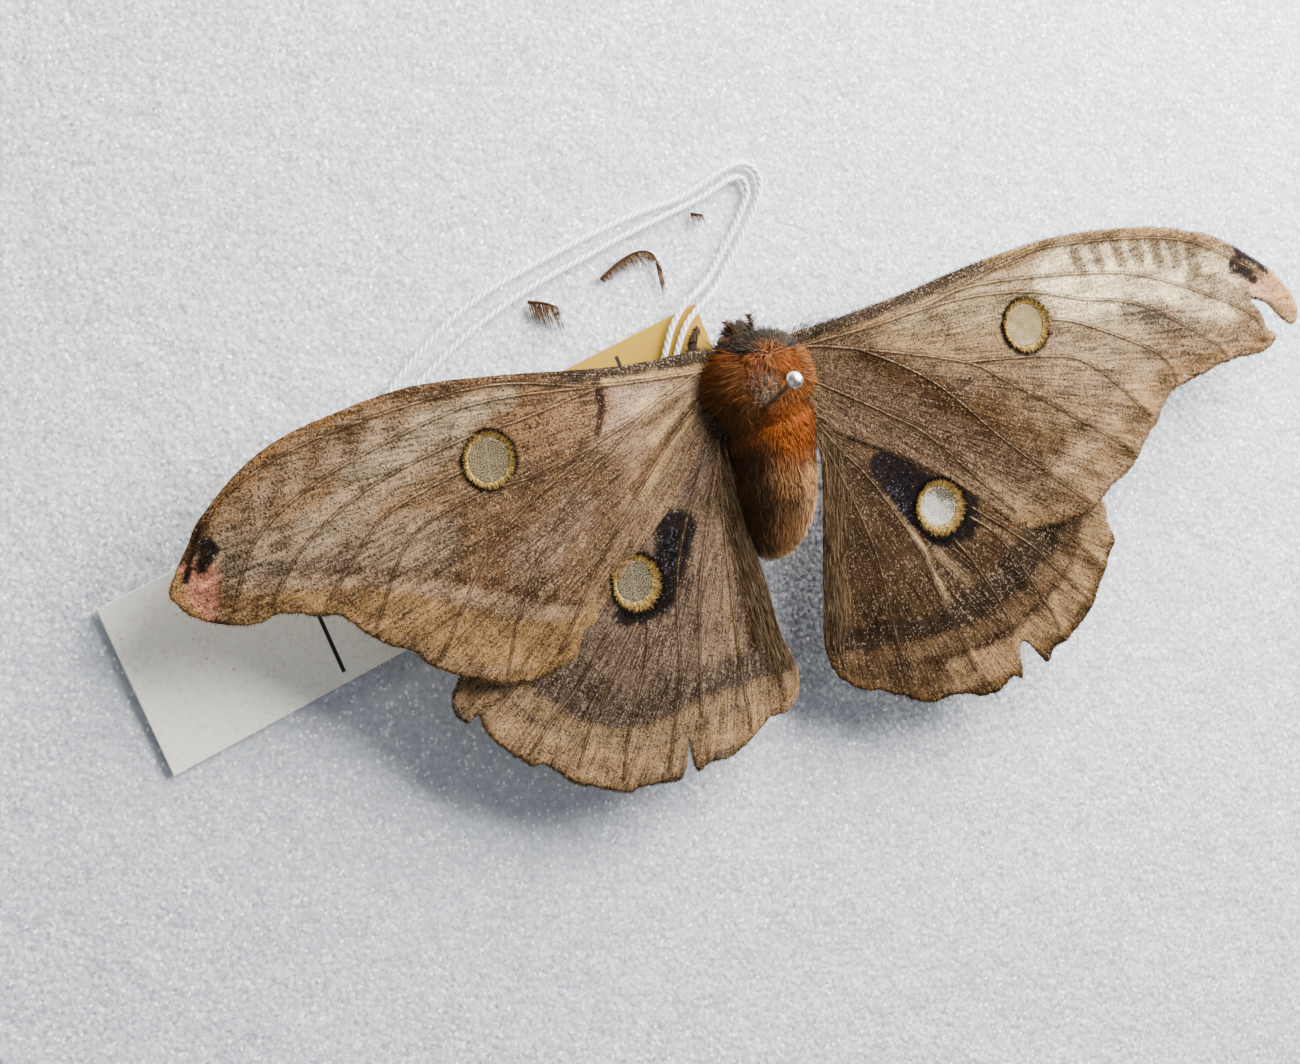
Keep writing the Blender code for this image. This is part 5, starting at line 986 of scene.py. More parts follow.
def wingHeight(wing, x, y, seed):
    # The middle of the membrane, with pleats between the veins and crinkles at the margin.
    shape = wingShape
    narrow, plain = veinGaps(wing, x, y)
    inFrom, _ = pathGap(x, y, curvePoints(wing["margin"], 1.5))
    spots = np.column_stack([x, y, np.zeros(len(x))])
    outer = softStep(inFrom, 14.0, 1.0)
    eyeGap = np.hypot(x - wing["eye"][0], y - wing["eye"][1]) - wing["eyeRadius"]
    calm = softStep(eyeGap, 0.0, 1.5)
    height = wing["level"] + wingRise(x, y) - shape["pleat"] * softStep(plain, 0.2, 2.2) * calm * (
        0.35 + 0.65 * outer)
    height += shape["wave"] * lumps(spots, 8.0, 15.0) * calm
    height += shape["crinkle"] * lumps(spots, 1.7, seed + 17) * outer * calm
    if "tuck" in wing:
        toTuck, _ = pathGap(x, y, wing["tuck"])
        height -= shape["tuck"] * softStep(toTuck, shape["tuckWidth"], 0.0)
    return height, narrow, plain


def makeWingScales(name, paleScale, veinColour):
    # Powdery wing scales: satin, each at its own slight tilt, so that some glint. Single scales are about
    # 0.1 mm. They are drawn a little larger, so that the peppering of pale and dark ones shows. The pale
    # ones are partly painted glints, gathered into streaks along the fibres.
    add, finish = newMaterial(name)
    place = add("TexCoord", {}, "Object")
    paint = add("Attribute:paint", {}, "Color")
    dust, soot, veinGap = (add("Attribute:" + title, {}, "Fac")
                           for title in ("dust", "soot", "veinGap"))
    fan = add("Attribute:fan", {}, "Vector")
    cells = add("TexVoronoi", {"Vector": place, "Scale": 1 / (0.15 * mm)}, "Distance")
    scaleTint = cells.node.outputs["Color"]
    pick = add("SeparateColor", {"Color": scaleTint}).node.outputs
    clump = add("TexNoise", {"Vector": place, "Scale": 1 / (0.8 * mm), "Detail": 3.0, "Roughness": 0.6})
    clumped = add("MapRange", {0: clump, 1: 0.32, 2: 0.68, 3: 0.3, 4: 1.7})
    drift = add("TexNoise", {"Vector": place, "Scale": 1 / (3.5 * mm)})
    drawn = add("Mapping", {"Vector": fan, "Scale": (4.4, 0.3, 1.0)})
    fibre = add("TexNoise", {"Vector": drawn, "Scale": 1.0, "Detail": 3.0})
    drawn = add("Mapping", {"Vector": fan, "Scale": (1.1, 0.07, 1.0)})
    streak = add("TexNoise", {"Vector": drawn, "Scale": 1.0})
    tone = add("Math:MULTIPLY_ADD", {0: pick[2], 1: 0.5, 2: drift})
    tone = add("Math:MULTIPLY_ADD", {0: fibre, 1: 1.3, 2: tone})
    tone = add("Math:MULTIPLY_ADD", {0: streak, 1: 1.0, 2: tone})
    value = add("MapRange", {0: tone, 1: 1.4, 2: 2.4, 3: 0.4, 4: 1.8})
    shade = add("HueSaturation", {"Color": paint, "Value": value})
    # Painted glints: pale scales are gathered into bright streaks along the fibres.
    glintStreaks = add("MapRange", {0: fibre, 1: 0.38, 2: 0.62, 3: 0.15, 4: 2.0})
    darkChance = add("Math:MULTIPLY", {0: soot, 1: clumped})
    dark = add("Math:LESS_THAN", {0: pick[0], 1: darkChance})
    paleChance = add("Math:MULTIPLY", {0: dust, 1: clumped})
    paleChance = add("Math:MULTIPLY", {0: paleChance, 1: glintStreaks})
    pale = add("Math:LESS_THAN", {0: pick[1], 1: paleChance})
    sooty = add("Math:MULTIPLY", {0: dark, 1: 0.65})
    colour = add("Mix", {0: sooty, 6: shade, 7: "#20160e"}, 2)
    # On the black patches the pale scales are bluish.
    ground = add("MapRange", {0: add("SeparateColor", {"Color": paint}), 1: 0.005, 2: 0.014})
    glint = add("Mix", {0: ground, 6: "#5b5c66", 7: paleScale}, 2)
    paleAndGlintMix = add("Math:MULTIPLY", {0: pale, 1: 0.7})
    colour = add("Mix", {0: paleAndGlintMix, 6: colour, 7: glint}, 2)
    vein = add("MapRange", {0: veinGap, 1: 0.12, 2: 0.4, 3: 0.75, 4: 0.0})
    colour = add("Mix", {0: vein, 6: colour, 7: veinColour}, 2)
    relief = add("Math:MULTIPLY_ADD", {0: fibre, 1: 1.4, 2: cells})
    relief = add("Bump", {"Height": relief, "Distance": 0.06 * mm, "Strength": 0.6})
    return finish({"Base Color": colour, "Normal": tiltedNormal(add, scaleTint, 0.5, relief),
                   "Roughness": 0.5, "Specular IOR Level": 0.02})


def makeRingScales():
    # The eyespot's rim: a felt of short golden scales that point outwards, dark on their outer side.
    add, finish = newMaterial("golden ring scales")
    polar = add("Attribute:polar", {}, "Vector")
    edge = add("SeparateXYZ", {0: polar}, 1)
    drawn = add("Mapping", {"Vector": polar, "Scale": (7.0, 1.4, 1.0)})
    rays = add("TexNoise", {"Vector": drawn, "Scale": 1.0})
    colour = add("Mix", {0: add("MapRange", {0: rays, 1: 0.38, 2: 0.6}), 6: "#2f1d08", 7: "#7d5a1c"}, 2)
    outer = add("MapRange", {0: edge, 1: 0.5, 2: 1.0, 4: 0.9})
    colour = add("Mix", {0: outer, 6: colour, 7: "#1c1108"}, 2)
    relief = add("Bump", {"Height": rays, "Distance": 0.1 * mm, "Strength": 0.9})
    return finish({"Base Color": colour, "Normal": relief, "Roughness": 0.7})


def makeWindow():
    # The eyespot's window is bare membrane: thin, clear and glossy, with stray scales and a fine fold.
    # Its colour is painted light and shade: dark where shade lies under it, milky where lit foam shows
    # through, and the fold is a painted pale highlight.
    add, finish = newMaterial("clear wing membrane")
    spot = add("Attribute:spot", {}, "Vector")
    haze = add("Attribute:haze", {}, "Fac")
    fog = add("TexNoise", {"Vector": spot, "Scale": 1.3})
    flecks = add("TexNoise", {"Vector": spot, "Scale": 6.5, "Detail": 3.0})
    stray = add("MapRange", {0: flecks, 1: 0.42, 2: 0.6})
    axes = add("SeparateXYZ", {0: spot}).node.outputs
    bow = add("Math:MULTIPLY_ADD", {0: fog, 1: 0.5, 2: axes[0]})
    away = add("Math:SUBTRACT", {0: bow, 1: 0.25})
    away = add("Math:ABSOLUTE", {0: away})
    fold = add("MapRange", {0: away, 1: 0.02, 2: 0.08, 3: 0.35, 4: 0.0})
    # Painted shade and light: the clear colour stands for the shade under the window, the milky one for lit
    # foam seen through it.
    clear = add("Mix", {0: stray, 6: "#2f2a23", 7: "#7a705b"}, 2)
    milkyBacklit = add("Mix", {0: stray, 6: "#665530", 7: "#897344"}, 2)
    colour = add("Mix", {0: haze, 6: clear, 7: milkyBacklit}, 2)
    # Painted highlight along the fold.
    colour = add("Mix", {0: fold, 6: colour, 7: "#b0a17d"}, 2)
    glare = add("Attribute:glare", {}, "Fac")
    relief = add("Math:MULTIPLY_ADD", {0: flecks, 1: 0.25, 2: fog})
    slope = add("Math:MULTIPLY", {0: axes[1], 1: glare})
    relief = add("Math:SUBTRACT", {0: relief, 1: slope})
    relief = add("Bump", {"Height": relief, "Distance": 0.1 * mm, "Strength": 0.5})
    gloss = add("MapRange", {0: haze, 3: 0.13, 4: 0.5})
    return finish({"Base Color": colour, "Normal": relief, "Roughness": gloss, "Alpha": 0.9, "IOR": 1.4,
                   "Coat Weight": 0.15, "Coat Roughness": 0.08})


def fringeTree(name, material):
    # Narrow, tapered rays that stand out from a path, such as fringe scales and the rays of a feeler.
    # Each point's "lean" is its ray's direction, "flow" the side it bends to and "long" its length.
    tree = bpy.data.node_groups.new(name, "GeometryNodeTree")
    for title, kind, value in (("Geometry", "NodeSocketGeometry", None), ("Length", "NodeSocketFloat", 1.0),
                               ("Width", "NodeSocketFloat", 0.1), ("Flatness", "NodeSocketFloat", 0.3),
                               ("Bend", "NodeSocketFloat", 0.0), ("Ruffle", "NodeSocketFloat", 0.35),
                               ("Seed", "NodeSocketInt", 3)):
        socket = tree.interface.new_socket(title, in_out="INPUT", socket_type=kind)
        if value is not None:
            socket.default_value = value
    tree.interface.new_socket("Geometry", in_out="OUTPUT", socket_type="NodeSocketGeometry")
    given = tree.nodes.new("NodeGroupInput").outputs

    def add(*wanted):
        return addNode(tree, *wanted)
    lean = add("GeometryNodeInputNamedAttribute", {"data_type": "FLOAT_VECTOR", "Name": "lean"})
    flow = add("GeometryNodeInputNamedAttribute", {"data_type": "FLOAT_VECTOR", "Name": "flow"})
    long = add("GeometryNodeInputNamedAttribute", {"data_type": "FLOAT", "Name": "long"})
    stray = add("FunctionNodeRandomValue", {"data_type": "FLOAT_VECTOR", 0: (-1, -1, -0.6), 1: (1, 1, 0.6),
                                            "Seed": given["Seed"]})
    jitter = add("VectorMath:SCALE", {0: stray, "Scale": given["Ruffle"]})
    heading = add("VectorMath:ADD", {0: lean, 1: jitter})
    turn = add("FunctionNodeAlignRotationToVector", {"axis": "Z", "Vector": heading})
    turn = add("FunctionNodeAlignRotationToVector", {"axis": "X", "pivot_axis": "Z", "Rotation": turn,
                                                     "Vector": flow})
    ray = add("GeometryNodeMeshCone", {"Vertices": 4, "Side Segments": 3, "Radius Top": 0.12,
                                       "Radius Bottom": 1.0, "Depth": 1.0})
    height = add("SeparateXYZ", {0: add("GeometryNodeInputPosition")}, 2)
    bent = add("Math:MULTIPLY", {0: height, 1: height})
    bent = add("Math:MULTIPLY", {0: bent, 1: given["Bend"]})
    ray = add("GeometryNodeSetPosition", {"Geometry": ray, "Offset": add("CombineXYZ", {0: bent})})
    size = add("FunctionNodeRandomValue", {"data_type": "FLOAT", 2: 0.65, 3: 1.2, "Seed": given["Seed"]}, 1)
    size = add("Math:MULTIPLY", {0: size, 1: given["Length"]})
    size = add("Math:MULTIPLY", {0: size, 1: long})
    flat = add("Math:MULTIPLY", {0: given["Width"], 1: given["Flatness"]})
    shape = add("CombineXYZ", {0: given["Width"], 1: flat, 2: size})
    placed = add("GeometryNodeInstanceOnPoints", {"Points": given["Geometry"], "Instance": ray,
                                                  "Rotation": turn, "Scale": shape})
    real = add("GeometryNodeRealizeInstances", {0: placed})
    painted = add("GeometryNodeSetMaterial", {"Geometry": real, "Material": material})
    tree.links.new(painted, tree.nodes.new("NodeGroupOutput").inputs[0])
    return tree


def grow(name, tree, points, colour, lean, flow, long, inputs):
    # Runs a fringe tree on points of the moth's frame and returns the plain mesh that it makes.
    mesh = bpy.data.meshes.new(name)
    mesh.from_pydata([tuple(p * mm) for p in inPlace(points)], [], [])
    turned = [inPlace(way) - inPlace([(0, 0, 0)]) for way in (lean, flow)]
    addAttribute(mesh, "paint", colour, "FLOAT_COLOR")
    addAttribute(mesh, "lean", turned[0], "FLOAT_VECTOR")
    addAttribute(mesh, "flow", turned[1], "FLOAT_VECTOR")
    addAttribute(mesh, "long", long)
    holder = looseObject(name, mesh)
    change = holder.modifiers.new(name, "NODES")
    change.node_group = tree
    for item in tree.interface.items_tree:
        if item.in_out == "INPUT" and item.name in inputs:
            change[item.identifier] = inputs[item.name]
    return bake(holder)


def makeFringeScales():
    # Loose fringe scales and feeler rays: horn-like, each with its own shade.
    add, finish = newMaterial("fringe scales")
    paint = add("Attribute:paint", {}, "Color")
    grain = add("TexNoise", {"Vector": add("TexCoord", {}, "Object"), "Scale": 1 / (0.3 * mm)})
    value = add("MapRange", {0: grain, 1: 0.3, 2: 0.7, 3: 0.55, 4: 1.15})
    colour = add("HueSaturation", {"Color": paint, "Value": value})
    relief = add("Bump", {"Height": grain, "Distance": 0.03 * mm, "Strength": 0.5})
    return finish({"Base Color": colour, "Normal": relief, "Roughness": 0.7, "Specular IOR Level": 0.05})


wingScales = {
    "forewing": makeWingScales("forewing scales", "#a3876a", "#2c1e12"),
    "hindwing": makeWingScales("hindwing scales", "#917a62", "#2a1d12"),
}
ringScales = makeRingScales()
clearWindow = makeWindow()
fringeScales = makeFringeScales()
fringe = fringeTree("scale fringe", fringeScales)
fringeLook = {"spacing": 0.13, "Length": 0.4 * mm, "Width": 0.06 * mm, "Ruffle": 0.45, "inset": 0.14}
ringLook = {
    "scales": 1100, "lashes": 900, "Length": 0.55 * mm,
    "Width": 0.07 * mm, "tints": ("#c6a45c", "#6b4a1c", "#0c0908"),
}
wingSurfaces = {}


def veinTubes(wing, seed):
    # Raised veins, half sunk in the membrane and thinner towards the margin.
    first, last = wingShape["veinRadius"]
    shapes = []
    for vein in wing["veins"]:
        line = evenPoints(onPlane(vein), 0.45)
        height, _, _ = wingHeight(wing, line[:, 0], line[:, 1], seed)
        line[:, 2] = height + wingShape["membrane"]
        shapes.append(tubeShape(line, first + (last - first) * np.linspace(0, 1, len(line)), 8))
    return joinShapes(shapes)


def fanOut(flat, root):
    # Places on a wing by their turn round its root and their distance from it, so that streaks run out
    # along the veins.
    ahead = unit(flat.mean(0)[None] - root)[0]
    offset = flat - root
    across = offset[:, 1] * ahead[0] - offset[:, 0] * ahead[1]
    return np.column_stack([np.arctan2(across, offset @ ahead) * 30.0, np.linalg.norm(offset, axis=1),
                            np.zeros(len(flat))])


def lashShare(wing, turn):
    # How far the black lashes round an eyespot cover each direction, from 0 to 1.
    share = np.full(len(turn), 0.25)
    degrees = np.degrees(turn) % 360
    for first, last in wing["lashes"]:
        share = np.maximum(share, softStep(np.abs((degrees - (first + last) / 2 + 180) % 360 - 180),
                                           (last - first) / 2 + 12, (last - first) / 2 - 12))
    return share


def makeWing(name, wing, seed):
    shape = wingShape
    rim = ragged(wing, curvePoints(wing["outline"], 0.4, True), seed)
    flat, triangles = filledSheet(rim, [(wing["eye"], wing["eyeRadius"])], shape["spacing"], 0.45)
    height, narrow, plain = wingHeight(wing, flat[:, 0], flat[:, 1], seed)
    rib = softStep(narrow, 1.3, 0.0)
    half = shape["membrane"] + shape["veinRise"] * rib
    toRim, _ = pathGap(flat[:, 0], flat[:, 1], np.vstack([rim, rim[:1]]))
    half = half * (0.45 + 0.55 * softStep(toRim, 0.0, 0.5))
    points, faces, owner = closedSheet(flat, triangles, height + half, height - half * 0.8)
    tubes, sides = veinTubes(wing, seed)
    faces = np.vstack([faces, sides + len(points)])
    points = np.vstack([points, tubes])
    every = np.vstack([flat, tubes[:, :2]])
    owner = np.concatenate([owner, len(flat) + np.arange(len(tubes))])
    onVein = np.arange(len(every)) >= len(flat)
    colour, dust, soot = paintWing(wing, every, seed)
    veinTint = linear(shape["veinTint"]) * shape["depth"]
    colour = np.where(onVein[:, None], 0.55 * colour + 0.45 * veinTint, colour)
    dust, soot = np.where(onVein, 0.2, dust), np.where(onVein, 0.05, soot)
    x, y = every[:, 0] - wing["eye"][0], every[:, 1] - wing["eye"][1]
    turn = np.arctan2(y, x)
    wobble = 0.12 * lumps(onPlane(every), 0.7, seed + 2)
    spiky = 0.2 * lumps(np.column_stack([6 * np.cos(turn), 6 * np.sin(turn), 0 * turn]), 0.5, seed + 3)
    ringGap = np.hypot(x, y) - wing["eyeRadius"] + wobble + spiky
    black = softStep(ringGap, 0.6, 0.3) * (0.15 + 0.85 * lashShare(wing, turn))
    colour += (linear("#0d0a09") - colour) * (0.95 * black)[:, None]
    dust, soot = dust * (1 - black), soot * (1 - black)
    mesh = newMesh(name, inPlace(points), faces)
    addAttribute(mesh, "paint", colour[owner], "FLOAT_COLOR")
    addAttribute(mesh, "dust", dust[owner])
    addAttribute(mesh, "soot", soot[owner])
    addAttribute(mesh, "veinGap", np.concatenate([plain, np.ones(len(tubes))])[owner])
    addAttribute(mesh, "fan", fanOut(every, np.array(wing["root"]))[owner], "FLOAT_VECTOR")
    addPiece(name + "_membrane", mesh, wingScales[wing["slot"]], wing["slot"], (name,))
    makeEyespot(name, wing, seed)
    makeFringe(name, wing, rim, seed)
    wingSurfaces[name] = (flat, triangles, height + half)


def makeEyespot(name, wing, seed):
    # A ring of golden scales round the clear window, both let into the wing.
    centre, outer, inner = np.array(wing["eye"]), wing["eyeRadius"] + 0.02, wing["window"]
    heart = centre + np.array(wing["windowShift"])
    angles = np.linspace(0, 2 * math.pi, 72, endpoint=False)
    circle = np.column_stack([np.cos(angles), np.sin(angles)])
    flat, triangles = filledSheet(centre + circle * outer, [(heart, inner)], 0.2)
    height, _, _ = wingHeight(wing, flat[:, 0], flat[:, 1], seed)
    away = np.hypot(*(flat - heart).T) - inner
    middle = np.clip(away / np.maximum(0.05, away + outer - np.hypot(*(flat - centre).T)), 0, 1)
    bead = np.sin(math.pi * middle) ** 0.7
    spots = onPlane(flat)
    half = 0.06 + 0.06 * bead + 0.04 * bead * lumps(spots, 0.35, seed)
    points, faces, owner = closedSheet(flat, triangles, height + half, height - half)
    mesh = newMesh(name + "_ring", inPlace(points), faces)
    turn = np.arctan2(*(flat - heart).T)
    polar = np.column_stack([np.abs(turn) * outer, middle, np.sign(turn)])
    addAttribute(mesh, "polar", polar[owner], "FLOAT_VECTOR")
    addPiece(name + "_eyespot_ring", mesh, ringScales, "eyespot", (name + "_eyespot",))
    flat, triangles = filledSheet(heart + circle * (inner + 0.03), [], 0.22)
    height, _, _ = wingHeight(wing, flat[:, 0], flat[:, 1], seed)
    spots = onPlane(flat)
    height += 0.05 * lumps(spots, 1.1, seed + 23)
    height -= wing["dish"] * (1 - np.minimum(1, np.hypot(*(flat - heart).T) / inner) ** 2)
    points, faces, owner = closedSheet(flat, triangles, height + 0.03, height - 0.03)
    mesh = newMesh(name + "_window", inPlace(points), faces)
    spot = onPlane(flat - heart)
    addAttribute(mesh, "spot", spot[owner], "FLOAT_VECTOR")
    addAttribute(mesh, "haze", np.full(len(points), wing["haze"]))
    addAttribute(mesh, "glare", np.full(len(points), wing.get("glare", 0.0)))
    addPiece(name + "_eyespot_window", mesh, clearWindow, "eyespot")
    growRing(name, wing, seed)


def growRing(name, wing, seed):
    # The ring's scales stand outwards, and black lashes stand beyond it where the ring is shaded.
    rng = np.random.default_rng(int(seed) + 3)
    look = ringLook
    count, lashes = look["scales"], look["lashes"]
    turn = rng.uniform(0, 2 * math.pi, count + lashes)
    isLash = np.arange(count + lashes) >= count
    isLash &= rng.random(len(turn)) < lashShare(wing, turn)
    isScale = np.arange(count + lashes) < count
    turn, isLash = turn[isScale | isLash], isLash[isScale | isLash]
    way = np.column_stack([np.cos(turn), np.sin(turn)])
    heart = np.array(wing["eye"]) + np.array(wing["windowShift"])
    shift = way @ np.array(wing["windowShift"])
    reach = -shift + np.sqrt(shift ** 2 - np.sum(np.array(wing["windowShift"]) ** 2) + wing["eyeRadius"] ** 2)
    place = np.where(isLash, rng.uniform(0.92, 1.2, len(turn)), rng.random(len(turn)))
    seat = heart + way * (wing["window"] - 0.05 + place * (reach - wing["window"] - 0.1))[:, None]
    height, _, _ = wingHeight(wing, seat[:, 0], seat[:, 1], seed)
    points = np.column_stack([seat, height + 0.05 + 0.06 * np.sin(math.pi * np.minimum(place, 1))])
    lean = np.column_stack([way, np.where(isLash, 0.25, 0.5)])
    inside, outside, lash = (linear(tint) for tint in look["tints"])
    tone = np.clip(place + rng.normal(0, 0.22, len(place)), 0, 1)[:, None]
    colour = np.where(isLash[:, None], lash, inside + (outside - inside) * tone)
    colour *= rng.uniform(0.5, 1.4, len(colour))[:, None] * 0.75
    long = np.where(isLash, rng.uniform(0.7, 1.5, len(turn)), rng.uniform(0.6, 1.1, len(turn)))
    flow = np.column_stack([-way[:, 1], way[:, 0], np.zeros(len(way))])
    mesh = grow(name + "_ring_scales", fringe, points, colour, lean, flow, long,
                {"Length": look["Length"], "Width": look["Width"], "Ruffle": 0.45, "Seed": int(seed) + 5})
    addPiece(name + "_ring_scales", mesh, fringeScales, "eyespot", smooth=False)


def makeFringe(name, wing, rim, seed):
    # Fringe scales all round the wing but its root.
    closed = np.vstack([rim, rim[:1]])
    path = evenPoints(onPlane(closed), fringeLook["spacing"])[:-1, :2]
    path = path[np.abs(path[:, 0]) > 7.0]
    side = sideways(np.gradient(path, axis=0))
    seat = path - side * fringeLook["inset"]
    height, _, _ = wingHeight(wing, seat[:, 0], seat[:, 1], seed)
    colour, _, _ = paintWing(wing, seat, seed)
    points = np.column_stack([seat, height])
    lean = onPlane(side)
    long = 0.5 + 0.5 * nearMargin(wing, seat)
    mesh = grow(name + "_fringe", fringe, points, colour * 0.85, lean, lean, long,
                {**fringeLook, "Seed": int(seed) + 1})
    addPiece(name + "_fringe", mesh, fringeScales, wing["slot"], smooth=False)


for number, (name, wing) in enumerate(wings.items()):
    makeWing(name, wing, 4.0 + 13.0 * number)
    print("wing spread:", name, len(wingSurfaces[name][1]), "triangles a side")

# Eyes: dark, finely faceted domes at the sides of the head.
eyes = {"radius": 0.85, "centre": (0.0, 5.3, 15.9), "offset": (1.45, 0.55, -0.5), "facet": 0.13}

# Body: one skin for thorax, abdomen, head and legs, under a coat of tufts.
body = {
    "thorax": ((-0.1, 0.8, 18.5), (4.9, 5.3, 4.8)), "blunt": 0.74,      # centre and radii
    "head": ((0.0, 5.3, 15.9), 1.8),
    "abdomen": [                            # y, x, z, half width, half height
        (-1.0, 0.6, 18.3, 4.4, 4.2), (-3.2, 0.6, 18.3, 4.4, 4.3), (-5.0, 0.6, 18.2, 4.35, 4.2),
        (-7.4, 0.6, 18.0, 4.2, 4.0), (-9.8, 0.55, 17.8, 4.15, 3.95), (-12.2, 0.5, 17.4, 3.8, 3.6),
        (-14.2, 0.35, 17.0, 3.1, 3.0), (-15.5, 0.1, 16.8, 2.4, 2.3), (-16.2, 0.0, 16.7, 1.6, 1.5),
        (-16.6, 0.0, 16.7, 0.6, 0.6)],
    "brown": "#6f4627",
    "patches": (                            # x, y, radius and tint of the rust-orange patches
        (-3.5, 3.0, 2.4, "#7c4119"), (2.0, 2.8, 2.6, "#8b4c1f"), (1.1, -3.4, 3.4, "#97501e")),
    "depth": 1.0, "ringDepth": 0.03, "ringEvery": 1.9, "voxel": 0.24,
    "bald": (-2.0, 0.8, 1.9),               # the worn patch by the pin: x, y and radius
}
legs = {
    "joints": {
        "front": [(2.0, 2.6, 15.6), (4.2, 3.6, 13.2), (3.6, 6.4, 12.3), (2.3, 8.0, 11.9)],
        "middle": [(2.2, -0.6, 14.8), (5.2, -1.2, 12.9), (6.4, -3.8, 12.4), (5.8, -6.0, 12.0)],
        "hind": [(2.1, -4.0, 15.6), (4.6, -5.4, 13.3), (5.4, -9.0, 12.4), (4.3, -12.0, 12.0)]},
    "radii": (0.72, 0.62, 0.42, 0.24),
}


def loftShape(rings, sides=48):
    # Points and faces of a closed body through elliptical rings that stand across y.
    angles = 2 * math.pi * np.arange(sides) / sides
    rings = np.array(rings)
    x = rings[:, 1, None] + rings[:, 3, None] * np.sin(angles)
    z = rings[:, 2, None] + rings[:, 4, None] * np.cos(angles)
    y = np.repeat(rings[:, 0, None], sides, axis=1)
    points = np.stack([x, y, z], -1).reshape(-1, 3)
    return np.vstack([points, rings[[0, -1]][:, [1, 0, 2]]]), limbFaces(len(rings), sides)[:, ::-1]


def eggRings(centre, radii, count=40, blunt=0.85):
    rings = []
    for i in range(count):
        angle = math.pi * (i + 0.35) / (count - 0.3)
        full = math.sin(angle) ** blunt
        rings.append((centre[1] + radii[1] * math.cos(angle), centre[0], centre[2], radii[0] * full,
                      radii[2] * full))
    return rings


def legPaths():
    paths = {}
    for pair, joints in legs["joints"].items():
        for side, word in ((-1, "left"), (1, "right")):
            paths["leg_{}_{}".format(pair, word)] = curvePoints(
                [(side * x, y, z) for x, y, z in joints], 0.25)
    return paths


def legRadii(path):
    share = np.linspace(0, 1, len(path))
    radii = np.interp(share, np.linspace(0, 1, len(legs["radii"])), legs["radii"])
    return radii * (1 - 0.18 * np.exp(-((share % (1 / 3)) / 0.03) ** 2))


def bodySkin():
    shapes = [loftShape(eggRings(*body["thorax"], blunt=body["blunt"]))]
    rings = curvePoints(body["abdomen"], 0.2)
    groove = body["ringDepth"] * np.abs(np.cos(math.pi * rings[:, 0] / body["ringEvery"])) ** 6
    rings[:, 3:] -= groove[:, None] * softStep(rings[:, 3], 0.5, 2.0)[:, None]
    shapes.append(loftShape(rings))
    centre, radius = body["head"]
    shapes.append(loftShape(eggRings(centre, (radius, radius * 0.92, radius))))
    for path in legPaths().values():
        shapes.append(tubeShape(path, legRadii(path)))
    holder = looseObject("skin", newMesh("skin", *joinShapes(shapes)))
    merge = holder.modifiers.new("merge", "REMESH")
    merge.mode = "VOXEL"
    merge.voxel_size = body["voxel"] * mm
    soften = holder.modifiers.new("soften", "SMOOTH")
    soften.factor = 0.5
    soften.iterations = 4
    split = holder.modifiers.new("split", "TRIANGULATE")
    split.quad_method = "FIXED"
    return bake(holder)


def readArray(items, field, width, kind=float):
    # One field of a mesh's elements as rows of numbers.
    values = np.zeros(len(items) * width, kind)
    items.foreach_get(field, values)
    return values.reshape(-1, width)


def furColour(points):
    # The coat's markings, for skin and tufts alike: a dark grey collar and head, rust-orange patches on
    # a brown thorax, and a golden-brown abdomen, dark on its left side and light golden on its right. That
    # change from side to side is partly the hair's own colour and partly painted shade and highlight.
    x, y, z = points.T
    fray = lumps(points, 1.1, 2.0)
    drift = lumps(points, 2.6, 8.0)
    colour = np.tile(linear(body["brown"]), (len(x), 1))
    bands = [("#8e5426", 0.6 * softStep(drift, 0.0, 0.5))]
    for px, py, size, tint in body["patches"]:
        away = np.hypot(x - px, y - py) + 0.5 * fray
        bands.append((tint, 0.95 * softStep(away, size * 1.3, size * 0.55)))
    bands += (
        ("#5c4029", 0.85 * softStep(np.abs(x - 0.3) + 0.6 * fray, 3.5, 4.8) * softStep(y, 3.4, 1.0)),
        ("#6d543c", 0.7 * softStep(np.abs(x) + 0.8 * fray, 5.2, 7.5)),
        ("#976b42", 0.9 * softStep(y + fray, -4.8, -8.4)),
        ("#664830", 0.75 * softStep(y + fray, -9.2, -10.4) * softStep(y + fray, -13.2, -12.0)),
        # Partly painted highlight: lighter golden hair on the abdomen's right side.
        ("#cca272", 0.85 * softStep(x + 0.6 * fray, 0.4, 2.8) * softStep(y + fray, -6.6, -9.5)),
        # Partly painted shade: darker hair on the abdomen's left side.
        ("#433223", 0.88 * softStep(x - 0.7 * fray, -0.4, -2.6) * softStep(y, -3.4, -5.2)),
        ("#b08a5c", 0.75 * softStep(y + 0.8 * fray, -14.6, -16.0)),
        ("#241e19", 0.97 * softStep(y + 0.5 * fray + 0.08 * x, 4.1, 4.9)),
        ("#4d4034", 0.4 * softStep(drift + 0.5 * fray, 0.0, 0.5) * softStep(y, 4.6, 5.4)),
        ("#4a3220", 0.9 * softStep(z + 0.4 * fray, 15.6, 14.4)))
    for tint, strength in bands:
        colour += (linear(tint) - colour) * np.clip(strength, 0, 1)[:, None]
    return colour * body["depth"]


def sampleSkin(points, triangles, normals, count, rng):
    # Even random places on a surface, with their normals.
    corners = points[triangles]
    area = np.linalg.norm(np.cross(corners[:, 1] - corners[:, 0], corners[:, 2] - corners[:, 0]), axis=1)
    chosen = rng.choice(len(triangles), count, p=area / area.sum())
    u, v = rng.random(count), rng.random(count)
    flip = u + v > 1
    u[flip], v[flip] = 1 - u[flip], 1 - v[flip]
    weights = np.column_stack([1 - u - v, u, v])
    roots = (points[triangles[chosen]] * weights[:, :, None]).sum(1)
    outward = (normals[triangles[chosen]] * weights[:, :, None]).sum(1)
    return roots, unit(outward)


